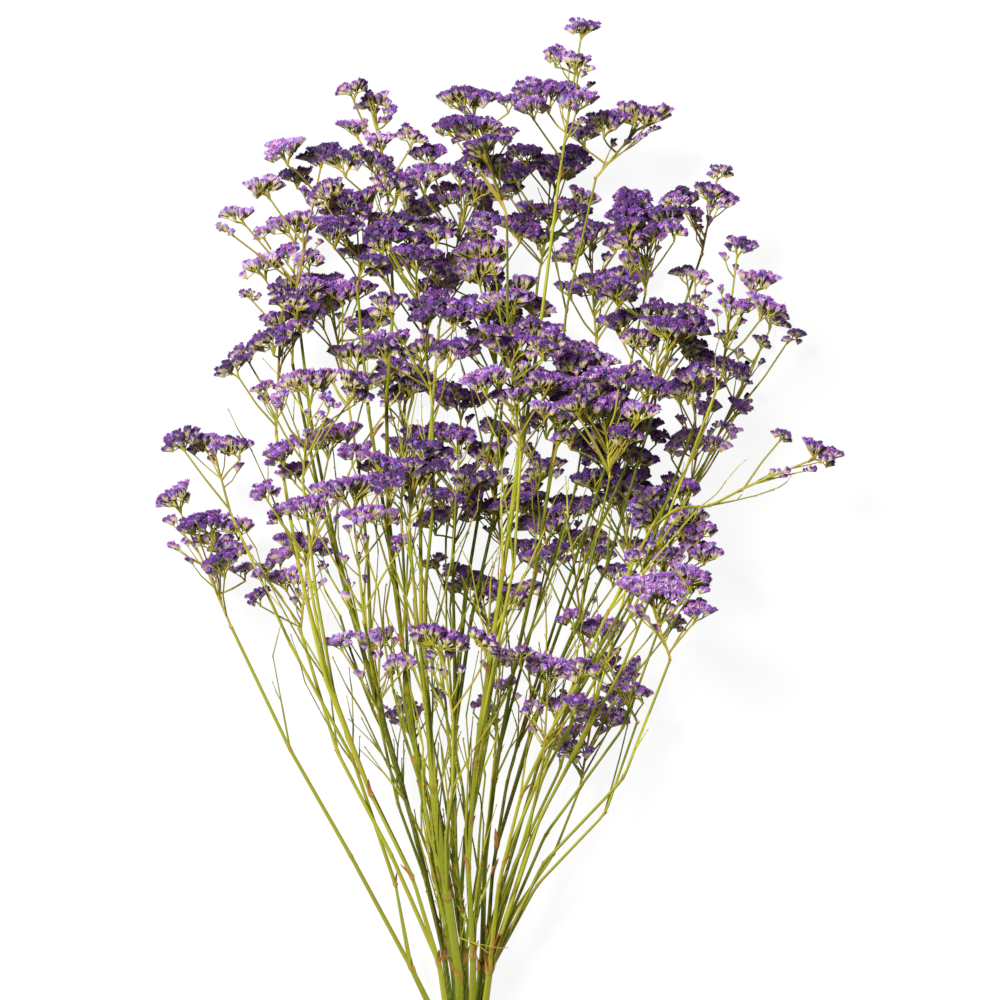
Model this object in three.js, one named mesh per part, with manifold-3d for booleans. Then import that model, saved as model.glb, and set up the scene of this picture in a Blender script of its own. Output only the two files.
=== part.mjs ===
// A dried bunch of fine-flowered statice, lying on a flat surface.
// +Z is up, the cut ends of the stems point to -Y and the flowers to +Y.
// Millimetres. While it is laid out, x = 0 is the middle of the bunch and y = 0 lies just above its neck.

import * as THREE from 'three';
import { mergeVertices } from 'three/addons/utils/BufferGeometryUtils.js';
import Module from 'manifold-3d';

const wasm = await Module();
wasm.setup();

// ---------------------------------------------------------------- driving dimensions

const CUT_END_Y = -96; // the cut ends of the stems
const TIE_Y = -53; // the tie round the neck
const NECK_X = -22;
const NECK_PITCH = 5.6; // between neighbouring stems in the tie
const END_SPLAY = 1.5; // how much wider than in the tie the stems stand at their cut ends
const STEM_RADIUS = 2.6; // at the cut end
const STEM_TIP_RADIUS = 1.4;
const STEM_SIDES = 5;
const STEM_STEP = 60; // length of one straight stretch of stem

const TIE_WIDTH = 8;
const TIE_THICKNESS = 1.4;
const SEAM = 0.3; // between two pieces that touch
const NECK_Z = NECK_PITCH + STEM_RADIUS + SEAM + TIE_THICKNESS; // the tie lies on the surface

const CORE_Z = 84; // height of the bunch's middle among the flowers
const CORE_Y = 300; // from here on the middle keeps that height
const ROW_SPREAD = 38; // between the three rows of stems among the flowers
const HALF_DEPTH = 74; // from the middle to the highest and lowest flowers
const HALF_WIDTH = 235; // the bunch grows thinner towards its sides
const THINNEST = 0.39; // of its depth at the sides
const TOP_Z = 160; // no flower reaches higher

// a branch leaves its stem this far below its head, and lower for a head that stands high or aside
const FORK_DROP = 55;
const FORK_DROP_SHARE = 0.28; // of the head's y
const FORK_SLOPE = 1.8;
const FORK_LOWEST_Y = 12;
const FORK_STUB = 4; // of the stem above its last fork
const BRANCH_RADIUS = 1.3;
const BRANCH_TIP_RADIUS = 1.1;
const BRANCH_POINTS = 4;
const BRANCHLET_RADIUS = 0.8;
const LEADER_POINTS = 3;
const LEADER_RADIUS = 1; // of the branchlet that carries the others
const BRANCHLET_SLOPE = 1.8; // rise for each millimetre aside
const FOOT_DROP = 34; // how far the foot may be lowered for that slope
const FOOT_ROOM = 3; // between the foot and its lowest branchlet
const TWIG_SIDES = 3;
const CURVE_PULL = 0.38; // how far a curve keeps its end directions, as a share of its length

const FAN_LEAN = 0.0012; // radians for each millimetre from the middle
const FOOT_LEAN = 0.45; // share of the slope from the foot to a crown
const MOST_RIM_FLORETS = 7;
const LEAST_RIM_FLORETS = 4;
const RIM_FLORETS_PER_MM = 0.17;
const FLORET_SEED = 1000;

const FLOOR_CLEARANCE = 1; // under the lowest of the heads that do not rest on the surface
const TRIM = 0.8; // how far the lowest flowers are flattened by the surface
const LIFT_STEP = 4; // a head is bent up or down by steps of this size until it is clear
const LIFT_STEPS = 30;

// ---------------------------------------------------------------- the layout

// Each stem keeps to one of three rows, so that no stem crosses another.
// path: x and y of the stem from just above the neck to its tip.
const ROW_LEVEL = { low: -1, mid: 0, top: 1 };
const STEMS = [
  { row: 'mid', slot: 0, path: [[-54, 0], [-64, 62], [-78, 94], [-97, 133], [-120, 171],
    [-144, 205], [-161, 236]] },
  { row: 'top', slot: 0, path: [[-36, 0], [-47, 59], [-68, 94], [-82, 131], [-92, 175], [-109, 219],
    [-125, 256], [-131, 300], [-134, 350]] },
  { row: 'low', slot: 0, path: [[-33, 0], [-44, 62], [-59, 112], [-72, 162], [-86, 212], [-97, 262],
    [-106, 325], [-116, 381], [-125, 444]] },
  { row: 'mid', slot: 1, path: [[-28, 0], [-38, 62], [-49, 125], [-58, 188], [-64, 250], [-72, 325],
    [-78, 394], [-81, 444], [-76, 500]] },
  { row: 'top', slot: 1, path: [[-25, 0], [-33, 62], [-41, 125], [-45, 188], [-50, 250], [-51, 312],
    [-45, 362], [-38, 419], [-32, 456]] },
  { row: 'low', slot: 1, path: [[-21, 0], [-28, 62], [-30, 125], [-28, 188], [-22, 250], [-14, 325],
    [-5, 388], [2, 450], [4, 506]] },
  { row: 'top', slot: 2, path: [[-16, 0], [-20, 62], [-18, 125], [-10, 188], [-1, 250], [9, 312],
    [18, 375], [26, 444], [38, 519]] },
  { row: 'mid', slot: 2, path: [[-12, 0], [-11, 62], [-5, 125], [5, 188], [19, 250], [35, 325],
    [50, 388], [61, 450], [64, 512]] },
  { row: 'low', slot: 2, path: [[-10, 0], [-6, 62], [3, 125], [18, 181], [38, 238], [62, 294],
    [88, 356], [108, 406], [119, 450]] },
  { row: 'top', slot: 3, path: [[-8, 0], [-2, 62], [9, 116], [28, 162], [50, 206], [70, 250],
    [94, 297], [119, 338], [136, 375]] },
  { row: 'mid', slot: 3, path: [[-6, 0], [1, 62], [18, 91], [38, 112], [56, 134], [81, 158],
    [94, 178], [100, 206]] },
];

// Each flower head: its stem, x and y of its foot, how far to the front it lies (1 highest, -1 lowest,
// 'floor' on the surface), and its crowns, each with x and y of the middle of its top and its width.
// The first crown's branchlet carries the others. A head whose branch lies nearly level has the y at
// which this leaves the stem as well.
const HEADS = [
  [7, 39, 531, 0.2, [[52, 612, 21], [35, 594, 20], [50, 587, 22], [30, 574, 42], [19, 561, 25],
    [49, 565, 27]]],
  [8, 64, 525, -0.2, [[89, 560, 42], [67, 554, 29], [53, 548, 25]]],
  [6, 0, 514, 0.6, [[-19, 566, 43], [5, 559, 17], [-12, 545, 28], [-31, 550, 28], [-16, 530, 24]]],
  [7, 25, 459, 'floor', [[38, 533, 39], [11, 528, 28], [6, 518, 18], [25, 504, 31], [9, 495, 27],
    [25, 486, 18]]],
  [4, -72, 514, 0, [[-81, 568, 22], [-94, 572, 20], [-70, 558, 14], [-92, 550, 21], [-75, 541, 21],
    [-55, 545, 21]]],
  [3, -130, 476, -0.2, [[-114, 537, 28], [-136, 538, 32], [-131, 523, 22], [-149, 516, 27],
    [-166, 497, 22], [-174, 487, 11]]],
  [4, -88, 444, 0.6, [[-76, 526, 29], [-97, 525, 29], [-94, 502, 41], [-97, 485, 35],
    [-84, 470, 28], [-62, 509, 32], [-109, 505, 28]]],
  [5, -38, 438, -0.5, [[-22, 513, 39], [-50, 524, 39], [-42, 511, 18], [-56, 500, 35],
    [-41, 490, 28], [-62, 474, 31], [-41, 463, 25]]],
  [8, 62, 406, -0.6, [[56, 507, 18], [59, 490, 35], [44, 476, 32], [62, 457, 42], [78, 448, 25],
    [44, 451, 21], [86, 461, 27]]],
  [9, 92, 456, 0.5, [[94, 493, 32], [81, 503, 25], [106, 501, 20], [78, 477, 21]]],
  [9, 126, 466, 0.1, [[136, 509, 32], [138, 522, 17], [122, 495, 15], [112, 507, 14]]],
  [10, 142, 408, 0.4, [[150, 475, 22], [161, 454, 28], [146, 438, 25], [166, 436, 27]]],
  [10, 149, 374, 'floor', [[180, 435, 25], [189, 422, 15], [172, 418, 13], [150, 404, 31],
    [159, 392, 11], [147, 421, 14]]],
  [9, 123, 372, 0.3, [[123, 456, 17], [124, 438, 13], [125, 407, 28], [128, 395, 15],
    [118, 384, 20]]],
  [10, 123, 328, -0.4, [[132, 375, 19], [153, 375, 18], [147, 360, 15], [119, 357, 28],
    [136, 352, 18], [108, 348, 14]]],
  [9, 97, 382, 0.6, [[100, 436, 27], [106, 422, 42], [88, 417, 28], [118, 413, 21], [74, 429, 31]]],
  [6, 0, 392, -0.2, [[-12, 475, 42], [-14, 463, 32], [9, 451, 32], [6, 442, 34], [-8, 424, 28],
    [-25, 435, 27], [23, 424, 27]]],
  [5, -42, 375, 0.8, [[-53, 467, 31], [-44, 439, 31], [-51, 409, 29], [-28, 409, 29],
    [-69, 436, 27]]],
  [3, -136, 424, -0.6, [[-134, 495, 38], [-151, 486, 14], [-138, 475, 21], [-153, 467, 31],
    [-139, 453, 21], [-162, 448, 13], [-122, 471, 24]]],
  [3, -97, 368, 'floor', [[-112, 457, 27], [-97, 453, 27], [-119, 443, 42], [-91, 428, 21],
    [-94, 411, 34], [-74, 418, 27], [-62, 398, 31]]],
  [2, -144, 374, -0.2, [[-141, 431, 24], [-145, 420, 34], [-162, 410, 21], [-169, 401, 24],
    [-128, 439, 22]]],
  [7, 12, 359, 0.7, [[6, 412, 36], [28, 410, 20], [6, 381, 27], [-12, 392, 31], [30, 391, 27]]],
  [8, 34, 341, 0.2, [[47, 410, 42], [62, 403, 21], [28, 371, 41], [55, 383, 27]]],
  [2, -124, 358, 0.6, [[-119, 392, 41], [-136, 376, 14], [-147, 384, 14], [-104, 376, 13],
    [-88, 391, 24]]],
  [4, -64, 308, -0.7, [[-62, 389, 25], [-73, 382, 14], [-56, 351, 39], [-78, 338, 25],
    [-45, 360, 28], [-38, 390, 28]]],
  [6, -30, 274, -0.4, [[-25, 383, 39], [-28, 360, 34], [-34, 319, 41], [-44, 305, 27],
    [-44, 336, 32], [-18, 330, 27]]],
  [9, 68, 342, 0.8, [[66, 377, 35], [46, 377, 25], [86, 371, 25], [94, 388, 25], [74, 394, 24]]],
  [2, -122, 291, -0.7, [[-109, 359, 42], [-91, 347, 24], [-131, 336, 24], [-138, 348, 28],
    [-149, 323, 21], [-142, 309, 18]]],
  [1, -175, 321, -0.1, [[-184, 354, 27], [-203, 355, 25], [-164, 351, 24]]],
  [1, -179, 254, -0.3, [[-208, 318, 28], [-184, 303, 34], [-169, 286, 21], [-162, 272, 17]]],
  [5, -56, 303, 0.9, [[-56, 335, 43], [-70, 326, 24]]],
  [3, -88, 268, -0.5, [[-94, 326, 50], [-119, 314, 34], [-86, 310, 27], [-72, 307, 25],
    [-61, 292, 18]]],
  [7, 2, 275, -0.6, [[-6, 349, 28], [22, 347, 18], [22, 331, 18], [-6, 313, 41], [12, 321, 25],
    [0, 365, 27], [28, 338, 27]]],
  [10, 84, 294, 0.6, [[75, 358, 39], [88, 345, 34], [78, 330, 49], [116, 326, 27], [56, 331, 18]]],
  [11, 108, 259, -0.4, [[100, 311, 34], [119, 307, 27], [125, 289, 29], [105, 283, 25]]],
  [8, 55, 245, 'floor', [[44, 314, 27], [56, 293, 39], [94, 286, 34], [28, 283, 39], [28, 301, 32],
    [76, 271, 27]]],
  [10, 158, 328, 0, [[203, 348, 28], [180, 358, 14]], 296],
  [2, -128, 246, -0.4, [[-125, 290, 41], [-150, 272, 18], [-139, 268, 25]]],
  [11, 105, 228, 0.5, [[97, 264, 50], [119, 272, 31], [121, 248, 20]]],
  [3, -78, 192, -0.4, [[-78, 231, 31], [-103, 228, 20], [-62, 216, 24]]],
  [5, -31, 201, 0.9, [[-36, 234, 43], [-6, 232, 27]]],
  [6, -6, 224, -0.5, [[-12, 265, 31], [6, 254, 28], [20, 260, 20], [-42, 276, 17]]],
  [4, -53, 158, -0.2, [[-66, 183, 15], [-53, 183, 13], [-39, 190, 11]]],
  [7, -3, 160, -0.5, [[0, 216, 21], [3, 197, 17], [-19, 184, 11], [-6, 180, 11]]],
  [8, 28, 171, 0.2, [[31, 215, 43], [47, 192, 17], [12, 222, 20], [50, 214, 24]]],
  [10, 53, 139, 0.4, [[66, 212, 28], [73, 177, 22], [56, 178, 18], [39, 166, 27], [79, 199, 11]]],
  [11, 82, 205, -0.5, [[62, 237, 35], [88, 242, 15], [112, 241, 18], [44, 245, 21]]],
].map(([stem, x, y, front, crowns, leaveY]) => ({ stem, x, y, front, crowns, leaveY }));

const CROWN_STEP = 4; // the crowns of a head stand in front of and behind its foot by steps of this size
const CROWN_STEPS = 7;

// ---------------------------------------------------------------- solids

function makeRandom(seed) {
  let state = seed;
  return () => {
    state = (state + 0x6d2b79f5) | 0;
    let value = Math.imul(state ^ (state >>> 15), 1 | state);
    value = (value + Math.imul(value ^ (value >>> 7), 61 | value)) ^ value;
    return ((value ^ (value >>> 14)) >>> 0) / 4294967296;
  };
}

// A closed solid through successive rings of points, which may have different counts. A ring of one
// point is a tip.
function skin(rings) {
  const vertices = [];
  const triangles = [];
  const firsts = rings.map((ring) => {
    const first = vertices.length / 3;
    ring.forEach((point) => vertices.push(point.x, point.y, point.z));
    return first;
  });
  for (let level = 0; level + 1 < rings.length; level += 1) {
    const lower = rings[level].length;
    const upper = rings[level + 1].length;
    const lowerSteps = lower > 1 ? lower : 0;
    const upperSteps = upper > 1 ? upper : 0;
    let i = 0;
    let j = 0;
    while (i < lowerSteps || j < upperSteps) {
      const a = firsts[level] + (i % lower);
      const b = firsts[level + 1] + (j % upper);
      if (j === upperSteps || (i < lowerSteps && (i + 1) / lower <= (j + 1) / upper)) {
        triangles.push(a, firsts[level] + ((i + 1) % lower), b);
        i += 1;
      } else {
        triangles.push(a, firsts[level + 1] + ((j + 1) % upper), b);
        j += 1;
      }
    }
  }
  for (let i = 1; i + 1 < rings[0].length; i += 1) triangles.push(0, i + 1, i);
  const last = firsts[rings.length - 1];
  for (let i = 1; i + 1 < rings[rings.length - 1].length; i += 1) {
    triangles.push(last, last + i, last + i + 1);
  }
  return new wasm.Manifold(new wasm.Mesh({
    numProp: 3,
    vertProperties: new Float32Array(vertices),
    triVerts: new Uint32Array(triangles),
  }));
}

function solidOf(source) {
  const bare = source.clone();
  bare.deleteAttribute('normal');
  bare.deleteAttribute('uv');
  const merged = mergeVertices(bare, 1e-4);
  return new wasm.Manifold(new wasm.Mesh({
    numProp: 3,
    vertProperties: new Float32Array(merged.attributes.position.array),
    triVerts: new Uint32Array(merged.index.array),
  }));
}

function geometryOf(solid) {
  const { vertProperties, triVerts, numProp } = solid.getMesh();
  const points = [];
  for (let i = 0; i < vertProperties.length; i += numProp) points.push(...vertProperties.slice(i, i + 3));
  const geometry = new THREE.BufferGeometry();
  geometry.setAttribute('position', new THREE.Float32BufferAttribute(points, 3));
  geometry.setIndex([...triVerts]);
  geometry.computeVertexNormals();
  return geometry;
}

const fuse = (solids) => solids.reduce((whole, solid) => whole.add(solid));

// One ring of a round section, square to its direction.
function section(centre, direction, radius, sides) {
  const side = new THREE.Vector3(0, 0, 1).cross(direction).normalize();
  const up = direction.clone().cross(side);
  return Array.from({ length: sides }, (_, i) => {
    const angle = (2 * Math.PI * i) / sides;
    return centre.clone()
      .addScaledVector(side, radius * Math.cos(angle))
      .addScaledVector(up, radius * Math.sin(angle));
  });
}

// Rings along a row of points. The end rings can be given their direction.
function tubeRings(points, radiusAt, sides, firstDirection, lastDirection) {
  const last = points.length - 1;
  return points.map((point, i) => {
    let direction = points[Math.min(i + 1, last)].clone().sub(points[Math.max(i - 1, 0)]).normalize();
    if (i === 0 && firstDirection) direction = firstDirection;
    if (i === last && lastDirection) direction = lastDirection;
    return section(point, direction, radiusAt(i / last), sides);
  });
}

// ---------------------------------------------------------------- stems

// The stems run straight through the tie, between these two heights.
const NECK_BOTTOM_Y = TIE_Y - TIE_WIDTH;
const NECK_TOP_Y = TIE_Y + TIE_WIDTH;

// How far a place has come from the tie (0) to the flowers (1).
function openness(y) {
  const share = THREE.MathUtils.clamp((y - NECK_TOP_Y) / (CORE_Y - NECK_TOP_Y), 0, 1);
  return Math.sin((share * Math.PI) / 2);
}

const coreHeight = (y) => THREE.MathUtils.lerp(NECK_Z, CORE_Z, openness(y));

// Places of the stems in the tie: three close rows.
const ROW_COUNT = { low: 3, mid: 4, top: 4 };
const slotX = ({ row, slot }, splay) => NECK_X + (slot - (ROW_COUNT[row] - 1) / 2) * NECK_PITCH * splay;

// x of a stem at a height y: a smooth curve through its points.
function stemX(stem, y) {
  const neck = slotX(stem, 1);
  const knots = [
    [slotX(stem, END_SPLAY), CUT_END_Y],
    [neck, NECK_BOTTOM_Y],
    [neck, NECK_TOP_Y],
    ...stem.path,
  ];
  const slope = (i) => {
    if (i === 1 || i === 2) return 0;
    const before = knots[Math.max(i - 1, 0)];
    const after = knots[Math.min(i + 1, knots.length - 1)];
    return (after[0] - before[0]) / (after[1] - before[1]);
  };
  let i = 0;
  while (i + 2 < knots.length && y > knots[i + 1][1]) i += 1;
  const span = knots[i + 1][1] - knots[i][1];
  const t = THREE.MathUtils.clamp((y - knots[i][1]) / span, 0, 1);
  const t2 = t * t;
  const t3 = t2 * t;
  return (2 * t3 - 3 * t2 + 1) * knots[i][0] + (t3 - 2 * t2 + t) * span * slope(i)
    + (3 * t2 - 2 * t3) * knots[i + 1][0] + (t3 - t2) * span * slope(i + 1);
}

function stemPoint(stem, y) {
  const rowPitch = THREE.MathUtils.lerp(NECK_PITCH, ROW_SPREAD, openness(y));
  return new THREE.Vector3(stemX(stem, y), y, coreHeight(y) + ROW_LEVEL[stem.row] * rowPitch);
}

// Height at which the branch of a head leaves its stem: low enough to reach the head at a natural slope.
function leaveHeight(head) {
  if (head.leaveY !== undefined) return head.leaveY;
  const stem = STEMS[head.stem - 1];
  const drop = FORK_DROP + FORK_DROP_SHARE * head.y;
  const sideways = Math.abs(head.x - stemX(stem, head.y - drop));
  const tip = stem.path[stem.path.length - 1][1];
  return THREE.MathUtils.clamp(head.y - drop - FORK_SLOPE * sideways, FORK_LOWEST_Y, tip - FORK_STUB);
}

// A stem ends just above its highest fork.
const stemTopY = (stem) => FORK_STUB
  + Math.max(...HEADS.filter((head) => STEMS[head.stem - 1] === stem).map(leaveHeight));

// A stem is built of straight stretches between these points.
function trunkPoints(stem) {
  const length = stemTopY(stem) - NECK_TOP_Y;
  const steps = Math.round(length / STEM_STEP);
  const heights = Array.from({ length: steps + 1 }, (_, i) => NECK_TOP_Y + (length * i) / steps);
  return [CUT_END_Y, NECK_BOTTOM_Y, ...heights].map((y) => stemPoint(stem, y));
}

function trunkSolid(stem) {
  const radiusAt = (t) => THREE.MathUtils.lerp(STEM_RADIUS, STEM_TIP_RADIUS, t);
  return skin(tubeRings(trunkPoints(stem), radiusAt, STEM_SIDES));
}

// The point of a stem's middle line at a height y, and its direction there.
function placeOnTrunk(stem, y) {
  const points = trunkPoints(stem);
  const after = points.findIndex((point) => point.y > y);
  const [from, to] = [points[after - 1], points[after]];
  const point = from.clone().lerp(to, (y - from.y) / (to.y - from.y));
  return { point, direction: to.clone().sub(from).normalize() };
}

// ---------------------------------------------------------------- flower heads

// Heads lean outwards with the fan of the bunch, and their crowns lean out from the foot.
function lean(x, dx, dy) {
  const angle = -FAN_LEAN * x - FOOT_LEAN * Math.atan2(dx, dy);
  return new THREE.Vector3(-Math.sin(angle), Math.cos(angle), 0);
}

const crownHalfDepth = (width) => 3 + 0.26 * width;
const crownConeDepth = (width) => 4 + 0.4 * width;

// z of each crown of a head from its foot: the smallest that keeps it out of the crowns before it.
function crownOffsets(crowns) {
  const offsets = [];
  crowns.forEach(([x, y, width], i) => {
    const meets = (offset) => crowns.slice(0, i).some(([otherX, otherY, otherWidth], k) => (
      Math.abs(x - otherX) < 0.45 * (width + otherWidth)
      && y - crownConeDepth(width) < otherY
      && otherY - crownConeDepth(otherWidth) < y
      && Math.abs(offset - offsets[k]) < 0.85 * (crownHalfDepth(width) + crownHalfDepth(otherWidth))
    ));
    let step = 0;
    const offsetAt = () => CROWN_STEP * Math.ceil(step / 2) * (step % 2 ? 1 : -1);
    while (step < 2 * CROWN_STEPS && meets(offsetAt())) step += 1;
    offsets.push(offsetAt());
  });
  return offsets;
}

// A flat-topped crown: a ribbed cone that opens into a rim of pointed florets, with more of them
// inside the rim.
function crownRings(centre, up, width, random, grow) {
  const depth = new THREE.Vector3(0, 0, 1);
  const side = up.clone().cross(depth);
  const halfWidth = width / 2 + grow;
  const halfDepth = crownHalfDepth(width) + grow;
  const rimFlorets = THREE.MathUtils.clamp(
    Math.round(RIM_FLORETS_PER_MM * width) + 1,
    LEAST_RIM_FLORETS,
    MOST_RIM_FLORETS,
  );
  const innerFlorets = Math.ceil(rimFlorets / 2);
  const at = (turn, reach, height) => centre.clone()
    .addScaledVector(depth, halfDepth * reach * Math.cos(2 * Math.PI * turn))
    .addScaledVector(side, halfWidth * reach * Math.sin(2 * Math.PI * turn))
    .addScaledVector(up, height);
  const rim = [];
  for (let i = 0; i < rimFlorets; i += 1) {
    const reach = i === 0 ? 1 : 0.88 + 0.12 * random();
    rim.push(at(i / rimFlorets, reach, -2 + 1.6 * random() + grow));
    rim.push(at((i + 0.5) / rimFlorets, 0.72 + 0.06 * random(), -5 + random()));
  }
  const inner = [];
  for (let i = 0; i < innerFlorets; i += 1) {
    inner.push(at((i + 0.25) / innerFlorets, 0.42 + 0.08 * random(), (i % 2 ? -0.2 : -3) + grow));
  }
  return [rim, inner, [at(0, 0, grow)]];
}

function bezierPoints(start, startDirection, end, endDirection, count) {
  const pull = CURVE_PULL * start.distanceTo(end);
  const curve = new THREE.CubicBezierCurve3(
    start,
    start.clone().addScaledVector(startDirection, pull),
    end.clone().addScaledVector(endDirection, -pull),
    end,
  );
  return Array.from({ length: count }, (_, i) => curve.getPoint(i / (count - 1)));
}

// Lowers the foot of a head until its side branchlets can rise at their slope.
function lowerFoot(head) {
  const leaveHeights = head.crowns.slice(1).map(([x, y, width]) => {
    const up = lean(x, x - head.x, y - head.y);
    const depth = crownConeDepth(width);
    return y - up.y * depth - BRANCHLET_SLOPE * Math.abs(x - up.x * depth - head.x);
  });
  const drop = THREE.MathUtils.clamp(head.y + FOOT_ROOM - Math.min(...leaveHeights), 0, FOOT_DROP);
  const footUp = lean(head.x, head.crowns[0][0] - head.x, head.crowns[0][1] - head.y);
  head.x -= footUp.x * drop;
  head.y -= footUp.y * drop;
}

HEADS.forEach(lowerFoot);

// The crowns of a head with their branchlets, as separate solids that still overlap. z is the height
// of its foot.
function headSolids(head, index, z, grow) {
  const random = makeRandom(FLORET_SEED + index);
  const foot = new THREE.Vector3(head.x, head.y, z);
  const [leader] = head.crowns;
  const footUp = lean(head.x, leader[0] - head.x, leader[1] - head.y);
  const leaderPath = [];
  const offsets = crownOffsets(head.crowns);
  return head.crowns.map(([x, y, width], i) => {
    const up = lean(x, x - head.x, y - head.y);
    const centre = new THREE.Vector3(x, y, z + offsets[i]);
    const base = centre.clone().addScaledVector(up, -crownConeDepth(width));
    let points;
    if (i === 0) {
      const start = foot.clone().addScaledVector(footUp, SEAM);
      points = bezierPoints(start, footUp, base, up, LEADER_POINTS);
      leaderPath.push(...points);
    } else {
      // a side branchlet leaves the leader low enough to reach its crown at a natural slope
      const leaveY = base.y - BRANCHLET_SLOPE * Math.abs(base.x - head.x);
      const last = LEADER_POINTS - 1;
      const share = THREE.MathUtils.clamp((leaveY - head.y) / (leaderPath[last].y - head.y), 0.08, 0.8);
      const place = share * last;
      const from = Math.floor(place);
      const start = leaderPath[from].clone().lerp(leaderPath[from + 1], place - from);
      points = [start, base];
    }
    const radius = (i === 0 ? LEADER_RADIUS : BRANCHLET_RADIUS) + grow;
    const branchlet = tubeRings(points, () => radius, TWIG_SIDES, i === 0 ? footUp : undefined, up);
    return skin([...branchlet, ...crownRings(centre, up, width, random, grow)]);
  });
}

function branchSolid(head, z, grow) {
  const { point: start, direction: startDirection } = placeOnTrunk(STEMS[head.stem - 1], leaveHeight(head));
  const footUp = lean(head.x, head.crowns[0][0] - head.x, head.crowns[0][1] - head.y);
  const foot = new THREE.Vector3(head.x, head.y, z);
  const points = bezierPoints(start, startDirection, foot, footUp, BRANCH_POINTS);
  const radiusAt = (t) => THREE.MathUtils.lerp(BRANCH_RADIUS, BRANCH_TIP_RADIUS, t) + grow;
  return skin(tubeRings(points, radiusAt, TWIG_SIDES, undefined, footUp));
}

// ---------------------------------------------------------------- placing the heads clear of each other

const boxesMeet = (a, b) => [0, 1, 2].every((k) => a.min[k] < b.max[k] && b.min[k] < a.max[k]);

const placed = []; // every solid placed so far, with its box and the stem or head that it is part of

function place(solid, owner) {
  placed.push({ solid, box: solid.boundingBox(), ...owner });
}

function isClear(solid, ignores) {
  const box = solid.boundingBox();
  return placed.every((other) => ignores(other) || !boxesMeet(box, other.box)
    || solid.intersect(other.solid).isEmpty());
}

// The lowest point of a head, from its foot.
const lowestOffset = (head, index) => Math.min(
  ...headSolids(head, index, 0, 0).map((solid) => solid.boundingBox().min[2]),
);

function wantedHeight(head, lowest) {
  if (head.front === 'floor') return -TRIM - lowest;
  const across = head.x / HALF_WIDTH;
  const roundness = Math.sqrt(Math.max(0, 1 - across * across));
  const room = HALF_DEPTH * openness(head.y) * Math.max(THINNEST, roundness);
  return Math.max(coreHeight(head.y) + head.front * room, FLOOR_CLEARANCE - lowest);
}

// The height nearest to the wanted one at which a head and its branch touch nothing else.
function findHeight(head, index) {
  const lowest = lowestOffset(head, index);
  const wanted = wantedHeight(head, lowest);
  const steps = head.front === 'floor' ? 0 : 2 * LIFT_STEPS;
  for (let step = 0; step <= steps; step += 1) {
    const z = wanted + LIFT_STEP * Math.ceil(step / 2) * (step % 2 ? 1 : -1);
    const fits = head.front === 'floor' || (z + lowest > FLOOR_CLEARANCE && z < TOP_Z);
    if (fits
      && headSolids(head, index, z, 2 * SEAM).every((solid) => isClear(solid, () => false))
      && isClear(branchSolid(head, z, 2 * SEAM), (other) => other.stem === head.stem)) return z;
  }
  throw new Error(`flower head ${index + 1} has no clear place`);
}

const trunks = STEMS.map(trunkSolid);
trunks.forEach((solid, i) => place(solid, { stem: i + 1 }));

const branches = STEMS.map(() => []);
const headParts = [];
const isOnFloor = (index) => HEADS[index].front === 'floor';
const order = HEADS.map((_, i) => i).sort((a, b) => isOnFloor(b) - isOnFloor(a)); // these come first
for (const index of order) {
  const head = HEADS[index];
  const z = findHeight(head, index);
  headParts[index] = headSolids(head, index, z, 0);
  headParts[index].forEach((solid) => place(solid, { head: index }));
  const branch = branchSolid(head, z, 0);
  branches[head.stem - 1].push(branch);
  place(branch, { stem: head.stem, foot: index });
}

// ---------------------------------------------------------------- the tie

// The outline round the stems in the neck, at a distance from their centres.
function neckOutline(shape, distance) {
  const wide = 1.5 * NECK_PITCH;
  const narrow = NECK_PITCH;
  const corners = [
    [wide, 0],
    [wide, NECK_PITCH],
    [-wide, NECK_PITCH],
    [-wide, 0],
    [-narrow, -NECK_PITCH],
    [narrow, -NECK_PITCH],
  ];
  corners.forEach(([x, z], i) => {
    const before = corners.at(i - 1);
    const after = corners[(i + 1) % corners.length];
    const turnIn = Math.atan2(z - before[1], x - before[0]) - Math.PI / 2;
    let turnOut = Math.atan2(after[1] - z, after[0] - x) - Math.PI / 2;
    if (turnOut < turnIn) turnOut += 2 * Math.PI;
    shape.absarc(x, z, distance, turnIn, turnOut, false);
  });
  return shape;
}

function tieSolid() {
  const inside = STEM_RADIUS + SEAM;
  const outline = neckOutline(new THREE.Shape(), inside + TIE_THICKNESS);
  outline.holes.push(neckOutline(new THREE.Path(), inside));
  const band = new THREE.ExtrudeGeometry(
    outline,
    { depth: TIE_WIDTH, bevelEnabled: false, curveSegments: 3 },
  );
  band.rotateX(Math.PI / 2);
  band.translate(NECK_X, TIE_Y + TIE_WIDTH / 2, NECK_Z);
  return solidOf(band);
}

// ---------------------------------------------------------------- the bunch

function aboveSurface(solid) {
  const block = new THREE.BoxGeometry(2000, 2000, 1000);
  block.translate(0, 0, 500);
  return solid.intersect(solidOf(block));
}

const stemMaterial = new THREE.MeshStandardMaterial({ color: 0x8f9a3c, roughness: 0.75, metalness: 0 });
const flowerMaterial = new THREE.MeshStandardMaterial({ color: 0x6a3aa8, roughness: 0.85, metalness: 0 });
const tieMaterial = new THREE.MeshStandardMaterial({ color: 0xb79a66, roughness: 0.8, metalness: 0 });

const twoDigits = (number) => String(number).padStart(2, '0');
const bunch = new THREE.Group();

function addPiece(name, solid, material) {
  const mesh = new THREE.Mesh(geometryOf(solid), material);
  mesh.name = name;
  bunch.add(mesh);
}

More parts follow.
